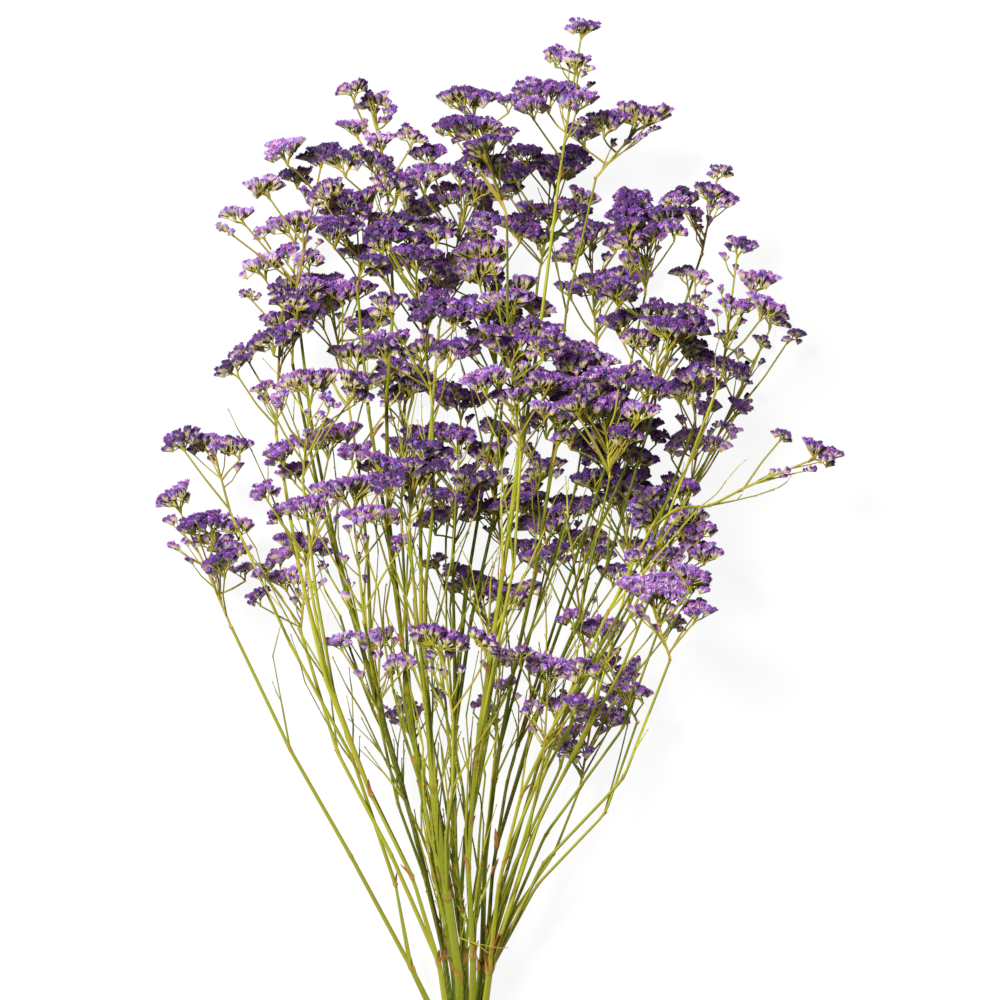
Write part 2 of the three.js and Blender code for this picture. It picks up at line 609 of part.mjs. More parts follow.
STEMS.forEach((stem, i) => {
  addPiece(`stem_${twoDigits(i + 1)}`, fuse([trunks[i], ...branches[i]]), stemMaterial);
});
headParts.forEach((solids, i) => {
  addPiece(`flower_head_${twoDigits(i + 1)}`, aboveSurface(fuse(solids)), flowerMaterial);
});
addPiece('tie_band', tieSolid(), tieMaterial);

// the origin is under the middle of the bunch
const extent = new THREE.Box3().setFromObject(bunch);
const middle = extent.getCenter(new THREE.Vector3());
bunch.position.set(-middle.x, -middle.y, 0);

export default bunch;
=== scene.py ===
from functools import lru_cache
from math import atan2, ceil, cos, exp, pi, radians, sin, sqrt

import bpy
import numpy as np
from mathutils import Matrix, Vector
from numpy.linalg import norm


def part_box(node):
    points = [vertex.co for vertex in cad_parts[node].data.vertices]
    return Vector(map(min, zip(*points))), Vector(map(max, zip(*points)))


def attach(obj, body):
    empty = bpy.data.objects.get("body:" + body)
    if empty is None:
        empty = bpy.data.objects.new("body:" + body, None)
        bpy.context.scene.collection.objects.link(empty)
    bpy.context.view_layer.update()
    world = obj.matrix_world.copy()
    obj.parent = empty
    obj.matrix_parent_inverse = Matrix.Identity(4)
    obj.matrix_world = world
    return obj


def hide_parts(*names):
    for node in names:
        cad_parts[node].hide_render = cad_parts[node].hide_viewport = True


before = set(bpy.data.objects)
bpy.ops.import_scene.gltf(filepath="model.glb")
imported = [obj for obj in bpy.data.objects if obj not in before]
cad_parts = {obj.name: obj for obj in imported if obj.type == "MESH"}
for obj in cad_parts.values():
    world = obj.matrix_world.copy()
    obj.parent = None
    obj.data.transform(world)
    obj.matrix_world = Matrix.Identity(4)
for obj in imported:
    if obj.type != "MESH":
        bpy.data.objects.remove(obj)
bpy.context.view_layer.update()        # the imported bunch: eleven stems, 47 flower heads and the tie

# A dried bunch of fine-flowered statice, lying on a pale surface and seen from straight above.
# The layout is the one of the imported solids: millimetres, +Z up, flowers to +Y, and the photo's lower edge at y = 0.
# Each stem and each flower head is grown again along the same lines, with its real florets, and stands for its solid.

# ---- sizes, in millimetres

CUT_END_Y = -96
TIE_Y = -53
TIE_WIDTH = 8
TIE_THICKNESS = 1.4
NECK_X = -22
NECK_PITCH = 5.6  # between neighbouring stems in the tie
END_SPLAY = 1.5  # how much wider the cut ends stand
STEM_RADIUS = 2.6
STEM_TIP_RADIUS = 1.4
STEM_STEP = 60  # between two bends of a stem
SEAM = 0.3  # between pieces that touch
NECK_Z = NECK_PITCH + STEM_RADIUS + SEAM + TIE_THICKNESS
NECK_BOTTOM_Y = TIE_Y - TIE_WIDTH
NECK_TOP_Y = TIE_Y + TIE_WIDTH

CORE_Z = 84  # height of the bunch's middle, from CORE_Y on
CORE_Y = 300
ROW_SPREAD = 38  # between the rows of stems there
LOW_Z, TOP_Z = 12, 152  # the bases of the inner crowns stay between these

FORK_DROP = 55  # how far below a head's foot its branch leaves the stem, and more for a high head
FORK_DROP_SHARE = 0.28
FORK_SLOPE = 1.8  # and more for a head that stands aside
FORK_LOWEST_Y = 12
FORK_STUB = 4  # of stem above its last fork
BRANCHLET_SLOPE = 1.8
FOOT_DROP = 34  # at most
FOOT_ROOM = 3
CURVE_PULL = 0.38  # of a curve's ends, for its length
FAN_LEAN = 0.0012  # radians for each millimetre from the middle
FOOT_LEAN = 0.45  # share of the direction from the foot
CROWN_STEP, CROWN_STEPS = 4, 7  # of a crown's shift in depth, and at most so many
CROWN_DEPTH, CROWN_DEPTH_SHARE = 3, 0.26  # from a crown's middle to its front, and more for a wide one
CONE_DEPTH, CONE_DEPTH_SHARE = 4, 0.4  # from its top to its base
SIDE_BY_SIDE, ONE_BEHIND_OTHER = 0.45, 0.85  # of two crowns' widths and depths: nearer ones would meet

ROW_COUNT = {-1: 3, 0: 4, 1: 4}  # of stems in the low, the middle and the top row

# Each stem's row, its place in the tie, and x and y of its path from just above the neck to its tip.
STEMS = [
    (0, 0, [(-54, 0), (-64, 62), (-78, 94), (-97, 133), (-120, 171), (-144, 205), (-161, 236)]),
    (1, 0, [(-36, 0), (-47, 59), (-68, 94), (-82, 131), (-92, 175), (-109, 219), (-125, 256), (-131, 300),
     (-134, 350)]),
    (-1, 0, [(-33, 0), (-44, 62), (-59, 112), (-72, 162), (-86, 212), (-97, 262), (-106, 325), (-116, 381),
     (-125, 444)]),
    (0, 1, [(-28, 0), (-38, 62), (-49, 125), (-58, 188), (-64, 250), (-72, 325), (-78, 394), (-81, 444),
     (-76, 500)]),
    (1, 1, [(-25, 0), (-33, 62), (-41, 125), (-45, 188), (-50, 250), (-51, 312), (-45, 362), (-38, 419),
     (-32, 456)]),
    (-1, 1, [(-21, 0), (-28, 62), (-30, 125), (-28, 188), (-22, 250), (-14, 325), (-5, 388), (2, 450), (4, 506)]),
    (1, 2, [(-16, 0), (-20, 62), (-18, 125), (-10, 188), (-1, 250), (9, 312), (18, 375), (26, 444), (38, 519)]),
    (0, 2, [(-12, 0), (-11, 62), (-5, 125), (5, 188), (19, 250), (35, 325), (50, 388), (61, 450), (64, 512)]),
    (-1, 2, [(-10, 0), (-6, 62), (3, 125), (18, 181), (38, 238), (62, 294), (88, 356), (108, 406), (119, 450)]),
    (1, 3, [(-8, 0), (-2, 62), (9, 116), (28, 162), (50, 206), (70, 250), (94, 297), (119, 338), (136, 375)]),
    (0, 3, [(-6, 0), (1, 62), (18, 91), (38, 112), (56, 134), (81, 158), (94, 178), (100, 206)]),
]

# Each head: its stem, x and y of its foot, and x and y of the middle of each crown's top, and its width. The first
# crown's branchlet carries the others. A head with a nearly level branch also has the y at which this leaves the stem.
HEADS = [
    (7, 39, 531, [(52, 612, 21), (35, 594, 20), (50, 587, 22), (30, 574, 42), (19, 561, 25), (49, 565, 27)]),
    (8, 64, 525, [(89, 560, 42), (67, 554, 29), (53, 548, 25)]),
    (6, 0, 514, [(-19, 566, 43), (5, 559, 17), (-12, 545, 28), (-31, 550, 28), (-16, 530, 24)]),
    (7, 25, 459, [(38, 533, 39), (11, 528, 28), (6, 518, 18), (25, 504, 31), (9, 495, 27), (25, 486, 18)]),
    (4, -72, 514, [(-81, 568, 22), (-94, 572, 20), (-70, 558, 14), (-92, 550, 21), (-75, 541, 21), (-55, 545, 21)]),
    (3, -130, 476, [(-114, 537, 28), (-136, 538, 32), (-131, 523, 22), (-149, 516, 27), (-166, 497, 22),
     (-174, 487, 11)]),
    (4, -88, 444, [(-76, 526, 29), (-97, 525, 29), (-94, 502, 41), (-97, 485, 35), (-84, 470, 28), (-62, 509, 32),
     (-109, 505, 28)]),
    (5, -38, 438, [(-22, 513, 39), (-50, 524, 39), (-42, 511, 18), (-56, 500, 35), (-41, 490, 28), (-62, 474, 31),
     (-41, 463, 25)]),
    (8, 62, 406, [(56, 507, 18), (59, 490, 35), (44, 476, 32), (62, 457, 42), (78, 448, 25), (44, 451, 21),
     (86, 461, 27)]),
    (9, 92, 456, [(94, 493, 32), (81, 503, 25), (106, 501, 20), (78, 477, 21)]),
    (9, 126, 466, [(136, 509, 32), (138, 522, 17), (122, 495, 15), (112, 507, 14)]),
    (10, 142, 408, [(150, 475, 22), (161, 454, 28), (146, 438, 25), (166, 436, 27)]),
    (10, 149, 374, [(180, 435, 25), (189, 422, 15), (172, 418, 13), (150, 404, 31), (159, 392, 11), (147, 421, 14)]),
    (9, 123, 372, [(123, 456, 17), (124, 438, 13), (125, 407, 28), (128, 395, 15), (118, 384, 20)]),
    (10, 123, 328, [(132, 375, 19), (153, 375, 18), (147, 360, 15), (119, 357, 28), (136, 352, 18), (108, 348, 14)]),
    (9, 97, 382, [(100, 436, 27), (106, 422, 42), (88, 417, 28), (118, 413, 21), (74, 429, 31)]),
    (6, 0, 392, [(-12, 475, 42), (-14, 463, 32), (9, 451, 32), (6, 442, 34), (-8, 424, 28), (-25, 435, 27),
     (23, 424, 27)]),
    (5, -42, 375, [(-53, 467, 31), (-44, 439, 31), (-51, 409, 29), (-28, 409, 29), (-69, 436, 27)]),
    (3, -136, 424, [(-134, 495, 38), (-151, 486, 14), (-138, 475, 21), (-153, 467, 31), (-139, 453, 21),
     (-162, 448, 13), (-122, 471, 24)]),
    (3, -97, 368, [(-112, 457, 27), (-97, 453, 27), (-119, 443, 42), (-91, 428, 21), (-94, 411, 34), (-74, 418, 27),
     (-62, 398, 31)]),
    (2, -144, 374, [(-141, 431, 24), (-145, 420, 34), (-162, 410, 21), (-169, 401, 24), (-128, 439, 22)]),
    (7, 12, 359, [(6, 412, 36), (28, 410, 20), (6, 381, 27), (-12, 392, 31), (30, 391, 27)]),
    (8, 34, 341, [(47, 410, 42), (62, 403, 21), (28, 371, 41), (55, 383, 27)]),
    (2, -124, 358, [(-119, 392, 41), (-136, 376, 14), (-147, 384, 14), (-104, 376, 13), (-88, 391, 24)]),
    (4, -64, 308, [(-62, 389, 25), (-73, 382, 14), (-56, 351, 39), (-78, 338, 25), (-45, 360, 28), (-38, 390, 28)]),
    (6, -30, 274, [(-25, 383, 39), (-28, 360, 34), (-34, 319, 41), (-44, 305, 27), (-44, 336, 32), (-18, 330, 27)]),
    (9, 68, 342, [(66, 377, 35), (46, 377, 25), (86, 371, 25), (94, 388, 25), (74, 394, 24)]),
    (2, -122, 291, [(-109, 359, 42), (-91, 347, 24), (-131, 336, 24), (-138, 348, 28), (-149, 323, 21),
     (-142, 309, 18)]),
    (1, -175, 321, [(-184, 354, 27), (-203, 355, 25), (-164, 351, 24)]),
    (1, -179, 254, [(-208, 318, 28), (-184, 303, 34), (-169, 286, 21), (-162, 272, 17)]),
    (5, -56, 303, [(-56, 335, 43), (-70, 326, 24)]),
    (3, -88, 268, [(-94, 326, 50), (-119, 314, 34), (-86, 310, 27), (-72, 307, 25), (-61, 292, 18)]),
    (7, 2, 275, [(-6, 349, 28), (22, 347, 18), (22, 331, 18), (-6, 313, 41), (12, 321, 25), (0, 365, 27),
     (28, 338, 27)]),
    (10, 84, 294, [(75, 358, 39), (88, 345, 34), (78, 330, 49), (116, 326, 27), (56, 331, 18)]),
    (11, 108, 259, [(100, 311, 34), (119, 307, 27), (125, 289, 29), (105, 283, 25)]),
    (8, 55, 245, [(44, 314, 27), (56, 293, 39), (94, 286, 34), (28, 283, 39), (28, 301, 32), (76, 271, 27)]),
    (10, 158, 328, [(203, 348, 28), (180, 358, 14)], 296),
    (2, -128, 246, [(-125, 290, 41), (-150, 272, 18), (-139, 268, 25)]),
    (11, 105, 228, [(97, 264, 50), (119, 272, 31), (121, 248, 20)]),
    (3, -78, 192, [(-78, 231, 31), (-103, 228, 20), (-62, 216, 24)]),
    (5, -31, 201, [(-36, 234, 43), (-6, 232, 27)]),
    (6, -6, 224, [(-12, 265, 31), (6, 254, 28), (20, 260, 20), (-42, 276, 17)]),
    (4, -53, 158, [(-66, 183, 15), (-53, 183, 13), (-39, 190, 11)]),
    (7, -3, 160, [(0, 216, 21), (3, 197, 17), (-19, 184, 11), (-6, 180, 11)]),
    (8, 28, 171, [(31, 215, 43), (47, 192, 17), (12, 222, 20), (50, 214, 24)]),
    (10, 53, 139, [(66, 212, 28), (73, 177, 22), (56, 178, 18), (39, 166, 27), (79, 199, 11)]),
    (11, 82, 205, [(62, 237, 35), (88, 242, 15), (112, 241, 18), (44, 245, 21)]),
]

# ---- the layout's curves


def lerp(a, b, t):
    return a + (b - a) * t


def clamp(value, low=0, high=1):
    return min(max(value, low), high)


def unit(v):
    return v / norm(v)


def turned(a, b, angle):
    """Two directions, turned in their plane, the first towards the second."""
    return a * np.cos(angle) + b * np.sin(angle), b * np.cos(angle) - a * np.sin(angle)


def openness(y):
    """How far a place has come from the tie (0) to the flowers (1)."""
    return sin(clamp((y - NECK_TOP_Y) / (CORE_Y - NECK_TOP_Y)) * pi / 2)


def slot_x(stem, splay):
    """x of a stem's place in the neck."""
    row, slot, _ = stem
    return NECK_X + (slot - (ROW_COUNT[row] - 1) / 2) * NECK_PITCH * splay


def stem_x(stem, y):
    """x of a stem's smooth path at a height."""
    neck = slot_x(stem, 1)
    knots = [(slot_x(stem, END_SPLAY), CUT_END_Y), (neck, NECK_BOTTOM_Y), (neck, NECK_TOP_Y), *stem[2]]

    def slope(i):
        if i in (1, 2):
            return 0
        before, after = knots[max(i - 1, 0)], knots[min(i + 1, len(knots) - 1)]
        return (after[0] - before[0]) / (after[1] - before[1])

    i = sum(y > knot[1] for knot in knots[1:-1])
    span = knots[i + 1][1] - knots[i][1]
    t = clamp((y - knots[i][1]) / span)
    return (
        (2 * t**3 - 3 * t**2 + 1) * knots[i][0]
        + (t**3 - 2 * t**2 + t) * span * slope(i)
        + (3 * t**2 - 2 * t**3) * knots[i + 1][0]
        + (t**3 - t**2) * span * slope(i + 1)
    )


def leave_height(head):
    """y at which the branch of a head leaves its stem."""
    number, x, y, _, *leave_y = head
    if leave_y:
        return leave_y[0]
    stem = STEMS[number - 1]
    drop = FORK_DROP + FORK_DROP_SHARE * y
    sideways = abs(x - stem_x(stem, y - drop))
    return clamp(y - drop - FORK_SLOPE * sideways, FORK_LOWEST_Y, stem[2][-1][1] - FORK_STUB)


def lean(x, dx, dy):
    """The way up of a crown: a little outwards in the fan, and a little on from its foot."""
    angle = -FAN_LEAN * x - FOOT_LEAN * atan2(dx, dy)
    return np.array([-sin(angle), cos(angle), 0])


def crown_depth(width):
    return CROWN_DEPTH + CROWN_DEPTH_SHARE * width


def cone_depth(width):
    return CONE_DEPTH + CONE_DEPTH_SHARE * width


def foot_up(head):
    _, x, y, crowns, *_ = head
    return lean(x, crowns[0][0] - x, crowns[0][1] - y)


def lower_foot(head):
    """The head with its foot low enough for its side branchlets to rise at their slope."""
    number, x, y, crowns, *leave_y = head
    leave_heights = []
    for cx, cy, width in crowns[1:]:
        up = lean(cx, cx - x, cy - y)
        cone = cone_depth(width)
        leave_heights.append(cy - up[1] * cone - BRANCHLET_SLOPE * abs(cx - up[0] * cone - x))
    drop = clamp(y + FOOT_ROOM - min(leave_heights), 0, FOOT_DROP)
    up = foot_up(head)
    return number, x - up[0] * drop, y - up[1] * drop, crowns, *leave_y


def crown_offsets(crowns):
    """z of each crown of a head from its foot: the nearest shift at which it meets none of those before it."""
    offsets = []
    for x, y, width in crowns:
        for step in range(2 * CROWN_STEPS + 1):
            offset = CROWN_STEP * ceil(step / 2) * (1 if step % 2 else -1)
            if not any(
                abs(x - ox) < SIDE_BY_SIDE * (width + ow)
                and y - cone_depth(width) < oy
                and oy - cone_depth(ow) < y
                and abs(offset - other) < ONE_BEHIND_OTHER * (crown_depth(width) + crown_depth(ow))
                for (ox, oy, ow), other in zip(crowns, offsets)
            ):
                break
        offsets.append(offset)
    return offsets


def rounded(corners, reach):
    """A path of straight stretches whose bends are rounded over a short reach on each side."""
    corners = np.asarray(corners, float)
    path = [corners[0]]
    for before, corner, after in zip(corners, corners[1:], corners[2:]):
        near = min(reach, 0.4 * norm(corner - before), 0.4 * norm(after - corner))
        arrive, leave = corner + unit(before - corner) * near, corner + unit(after - corner) * near
        path += [arrive, 0.5 * corner + 0.25 * (arrive + leave), leave]
    return np.array([*path, corners[-1]])


def bezier(start, start_direction, end, end_direction, shares):
    """Points of a curve that leaves and arrives in the given directions."""
    pull = CURVE_PULL * norm(end - start)
    t = np.asarray(shares, float)[:, None]
    return (
        (1 - t) ** 3 * start
        + 3 * (1 - t) ** 2 * t * (start + start_direction * pull)
        + 3 * (1 - t) * t**2 * (end - end_direction * pull)
        + t**3 * end
    )


HEADS = [lower_foot(head) for head in HEADS]

tie_low, tie_high = (np.array(corner) * 1000 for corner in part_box("tie_band"))
SHIFT = ((tie_low + tie_high) / 2 - [NECK_X, TIE_Y, 0]) * [1, 1, 0]


def to_metres(points):
    """Places in the frame, from places in the layout."""
    return (np.array(points, float) + SHIFT) / 1000


def foot_of(name, head):
    """The foot of a head. Its height is found from the top of the head's solid."""
    _, x, y, crowns, *_ = head
    top = max(offset + crown_depth(crown[2]) for offset, crown in zip(crown_offsets(crowns), crowns))
    return np.array([x, y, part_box(name)[1].z * 1000 - top])


# ---- building pieces

RIDGE = 0.1  # depth of the ribs of a stalk, as a share of its radius
PLAIN_BRACT = 3.2  # a shorter scale has a plain form
BRACT_THICKNESS = 0.16


def add_object(name, data):
    thing = bpy.data.objects.new(name, data)
    bpy.context.scene.collection.objects.link(thing)
    return thing


class Surface:
    """The triangles of one piece, with a few values at each point that its material reads."""

    def __init__(self, *names):
        self.names = names
        self.points, self.triangles, self.values = [], [], []
        self.count = 0

    def add(self, points, triangles, values):
        self.points.append(points)
        self.triangles.append(triangles + self.count)
        self.values.append(np.broadcast_to(values, (len(points), len(self.names))))
        self.count += len(points)

    def piece(self, node, part, slot, material, sharp_from):
        """Makes the object that stands for a CAD node. Its edges are sharp from an angle in degrees on."""
        name = f"{node}_{part}"
        points = to_metres(np.concatenate(self.points))
        points[:, 2] = np.maximum(points[:, 2], 0)  # what touches the surface is pressed flat
        triangles, values = np.concatenate(self.triangles), np.concatenate(self.values)
        mesh = bpy.data.meshes.new(name)
        mesh.from_pydata(points.tolist(), [], triangles.tolist())
        for column, value_name in enumerate(self.names):
            attribute = mesh.attributes.new(value_name, "FLOAT", "POINT")
            attribute.data.foreach_set("value", values[:, column].astype(np.float32))
        mesh.validate()
        mesh.shade_smooth()
        mesh.set_sharp_from_angle(angle=radians(sharp_from))
        mesh.materials.append(material)
        piece = add_object(name, mesh)
        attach(piece, "root")
        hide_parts(node)


def bands(pairs, sides):
    """Triangles between pairs of rings of points, given by the numbers of the rings."""
    triangles = []
    for i, k in pairs:
        for j in range(sides):
            m = (j + 1) % sides
            a, b, c, d = i * sides + j, i * sides + m, k * sides + m, k * sides + j
            triangles += [(a, b, c), (a, c, d)]
    return triangles


@lru_cache
def loft_triangles(rings, sides):
    """Triangles of a closed skin over rings of points, with the middles of its two ends as the last two points."""
    triangles = bands([(i, i + 1) for i in range(rings - 1)], sides)
    end = (rings - 1) * sides
    for j in range(sides):
        k = (j + 1) % sides
        triangles += [(end + sides, k, j), (end + sides + 1, end + j, end + k)]
    return np.array(triangles)


def tube_frames(path):
    """Directions to the side and the top of a path that turn no more than they must."""
    along = np.gradient(path, axis=0)
    along /= norm(along, axis=1)[:, None]
    side = np.empty_like(along)
    side[0] = unit(np.cross([0, 0, 1.0] if abs(along[0][2]) < 0.9 else [1.0, 0, 0], along[0]))
    for i in range(1, len(path)):
        side[i] = unit(side[i - 1] - (side[i - 1] @ along[i]) * along[i])
    return side, np.cross(along, side)


def tube(surface, path, radii, sides, values, ridge=0.0, course=None):
    """A closed round or ribbed stalk along a path. Its rings stand square to the course, or else to the path."""
    path = np.asarray(path, float)
    side, up = tube_frames(path if course is None else course)
    turn = 2 * pi * np.arange(sides) / sides
    reach = np.asarray(radii, float)[:, None] * (1 - ridge * (np.arange(sides) % 2))
    rings = (
        path[:, None]
        + (reach * np.cos(turn))[:, :, None] * side[:, None]
        + (reach * np.sin(turn))[:, :, None] * up[:, None]
    )
    points = np.concatenate([rings.reshape(-1, 3), path[:1], path[-1:]])
    values = np.broadcast_to(values, (len(path), len(surface.names)))
    spread = np.concatenate([np.repeat(values, sides, axis=0), values[:1], values[-1:]])
    surface.add(points, loft_triangles(len(path), sides), spread)


def bract(surface, place, along, outward, radius, length, brown, tone=0.5):
    """A pointed scale that clasps a stalk at a fork. A short one is a plain pyramid."""
    outward = unit(outward - (outward @ along) * along)
    across = np.cross(along, outward)
    if length < PLAIN_BRACT:
        half_width, tip = radius + 0.25, along * length + outward * (radius + 0.2 * length)
        points = [across * half_width, -across * half_width, outward * (radius + 0.4), tip]
        triangles = [(0, 1, 2), (0, 3, 1), (1, 3, 2), (2, 3, 0)]
        surface.add(place + np.array(points), np.array(triangles), [tone, brown, 0])
        return
    rows = np.array([0, 0.35, 0.7, 1])
    spread = 1.25 * np.array([1, 0.85, 0.5, 0.06])  # half of the angle that each row clasps
    flare = radius + 0.1 + 0.16 * length * rows**2
    rings = []
    for row, half_angle, distance in zip(rows, spread, flare):
        for step, reach in [(-1, BRACT_THICKNESS), (0, BRACT_THICKNESS), (1, BRACT_THICKNESS), (1, 0), (0, 0), (-1, 0)]:
            heading, _ = turned(outward, across, step * half_angle)
            rings.append(place + along * length * row + heading * (distance + reach))
    points = np.array([*rings, np.mean(rings[:6], axis=0), np.mean(rings[-6:], axis=0)])
    surface.add(points, loft_triangles(4, 6), [tone, brown, 0])


# ---- florets

FLORET_VARIANTS = 8
FLORET_LENGTH = 7.4
LIMB_RADIUS = 1.5
THROAT = 0.84  # height of its floor in a floret of unit length
LOBED_SIDES, PLAIN_SIDES = 10, 5  # a floret deep in the bunch is plain


def floret_kind(sides):
    """Florets of unit length: a slender calyx that opens into a papery funnel, torn into lobes.

    Returns the points of the variants, and the triangles, places along the floret and tints that they share.
    """
    variants = []
    for seed in range(FLORET_VARIANTS):
        rng = np.random.default_rng(seed)
        points = [(0, 0, 0)]
        for i in range(sides):
            lobe = i % 2 == 0
            if sides == LOBED_SIDES:
                radius = rng.uniform(0.88, 1.18) if lobe else rng.uniform(0.58, 0.72)
                level = 1 + (rng.uniform(-0.05, 0.06) if lobe else rng.uniform(-0.1, -0.05))
            else:
                radius, level = rng.uniform(0.66, 1.12), 1 + rng.uniform(-0.09, 0.06)
            angle = 2 * pi * i / sides + rng.uniform(-0.1, 0.1)
            points.append((LIMB_RADIUS * radius * cos(angle), LIMB_RADIUS * radius * sin(angle), level))
        variants.append([*points, (0, 0, THROAT)])
    triangles = []
    for a, b in [(1 + i, 1 + (i + 1) % sides) for i in range(sides)]:
        triangles += [(0, b, a), (a, b, sides + 1)]
    along = [0, *(0.92 if i % 2 else 1 for i in range(sides)), 0.8]
    tint = [0, *(-0.1 if i % 2 else 0.1 for i in range(sides)), -0.25]  # lobes pale, throat dark
    return np.array(variants), np.array(triangles), np.array(along), np.array(tint)


LOBED_FLORET, PLAIN_FLORET = floret_kind(LOBED_SIDES), floret_kind(PLAIN_SIDES)


def add_florets(surface, rows, kind, rng):
    """Places a floret for each row of base, middle of its mouth, width and tint."""
    shapes, shape_triangles, shape_along, shape_tint = kind
    base, mouth, size, tint = (np.array(column) for column in zip(*rows))
    up = mouth - base
    length = norm(up, axis=1)[:, None]
    up /= length
    helper = np.where(abs(up[:, 2:]) < 0.9, [[0, 0, 1.0]], [[1.0, 0, 0]])
    side = np.cross(helper, up)
    side /= norm(side, axis=1)[:, None]
    front = np.cross(up, side)
    turn = rng.uniform(0, 2 * pi, len(rows))[:, None]
    side, front = turned(side, front, turn)
    shape = shapes[rng.integers(0, FLORET_VARIANTS, len(rows))] * np.stack([size, size, length[:, 0]], axis=1)[:, None]
    points = (
        base[:, None]
        + shape[:, :, :1] * side[:, None]
        + shape[:, :, 1:2] * front[:, None]
        + shape[:, :, 2:] * up[:, None]
    )
    count = shapes.shape[1]
    triangles = shape_triangles + count * np.arange(len(rows))[:, None, None]
    tint = np.repeat(tint, count) + np.tile(shape_tint, len(rows)) + rng.normal(0, 0.1, count * len(rows))
    values = np.stack([np.tile(shape_along, len(rows)), np.clip(tint, 0, 1)], axis=1)
    surface.add(points.reshape(-1, 3), triangles.reshape(-1, 3), values)


# ---- flower heads

FLORET_SEED = 400
CYME_AREA = 26.5  # of a crown's top, for each small fan of florets on it
CYME_FLORETS = 6
CYME_ROW = 0.9  # of florets, from the middle of the fan
CYME_DROOP = 5  # for the square of a place's distance from the middle, in lengths of the fan
BUD_SHARE = 0.12  # of the florets have a small one beside them
FLORET_PITCH = 1.25
GOLDEN_TURN = radians(137.5)
ROLL = 9  # degrees that a crown leans to a side
NOD = (-16, 22)  # degrees that its top turns towards the front
CROWN_FILL = 0.86  # share of a crown's reach that the middles of its fans fill
LOW_SHARE = 0.28  # of the outer fans stay below the rim
FORK_SCALE_SHARE = 0.6  # of the forks in a crown have a scale
STRAYS = 7  # of each head: small fans of florets that stand alone below the crowns
INNER_CROWNS = 26  # places that are tried in each head for its inner crowns
INNER_WIDTHS = (17, 29)
INNER_SIDEWAYS, INNER_DEEP = (-30, 30), (7, 30)
CORE_CROWDING = 0.44  # the most that the middle of the flowers gives by itself
CORE_PLACE, CORE_REACH, CORE_FLAT = (15, 420), (125, 135), 1.2
# x, y, reach and share of the places where the heads crowd, and of those that stay open
CROWDED_PLACES = [
    (50, 420, 34, 1), (69, 453, 22, 0.8), (65, 345, 36, 1), (78, 335, 26, 1), (12, 297, 30, 1), (-16, 297, 20, 0.7),
    (109, 282, 34, 1), (-170, 292, 26, 0.9), (47, 172, 32, 1), (10, 262, 20, 0.7), (-109, 453, 22, 0.8),
    (-78, 484, 20, 1), (-16, 516, 16, 0.8), (5, 425, 40, 0.8),
]
OPEN_PLACES = [
    (40, 225, 28, 0.9), (78, 262, 16, 0.4), (150, 362, 28, 0.6), (-10, 375, 24, 0.4), (12, 175, 20, 0.8),
    (78, 510, 20, 0.5), (125, 455, 18, 0.5), (-47, 328, 28, 0.3), (-78, 365, 30, 0.25), (-125, 391, 24, 0.25),
    (-16, 232, 16, 0.8), (-208, 336, 24, 1),
]
LOOSE_BELOW = 250  # the lowest crowns are less level
INNER_SWELL = 1.18  # florets deep in the bunch are a little wider
WIDENING = 1.05  # florets reach a little past the solid of their crown
FADED_TINT = 0.85
FADED_CROWNS = [(-136, 538), (-149, 516), (-166, 497), (-174, 487), (56, 507), (123, 456), (56, 331), (39, 166)]


def grow_cyme(middle, heading, top, length, count, tint, florets, rng, swell=1.0):
    """A small fan of florets in two rows, all on one fork. Returns the fork."""
    across = np.cross(top, heading)
    fork = middle - top * length
    for k in range(count):
        s, aside = k / (count - 1) - 0.5, across if k % 2 else -across
        mouth = (
            middle
            + heading * s * FLORET_PITCH * (count - 1)
            + aside * CYME_ROW
            - top * (CYME_DROOP * s * s)
            + rng.normal(0, 0.52, 3)
        )
        tone = clamp(tint + rng.normal(0, 0.21))
        florets.append((fork, mouth, rng.uniform(0.8, 1.15) * swell, tone))
        if rng.random() < BUD_SHARE:
            bud = lerp(fork, mouth, rng.uniform(0.55, 0.75)) + aside * 1.6 + rng.normal(0, 0.5, 3)
            florets.append((lerp(fork, mouth, 0.15), bud, rng.uniform(0.5, 0.8), clamp(tone - 0.2)))
    return fork


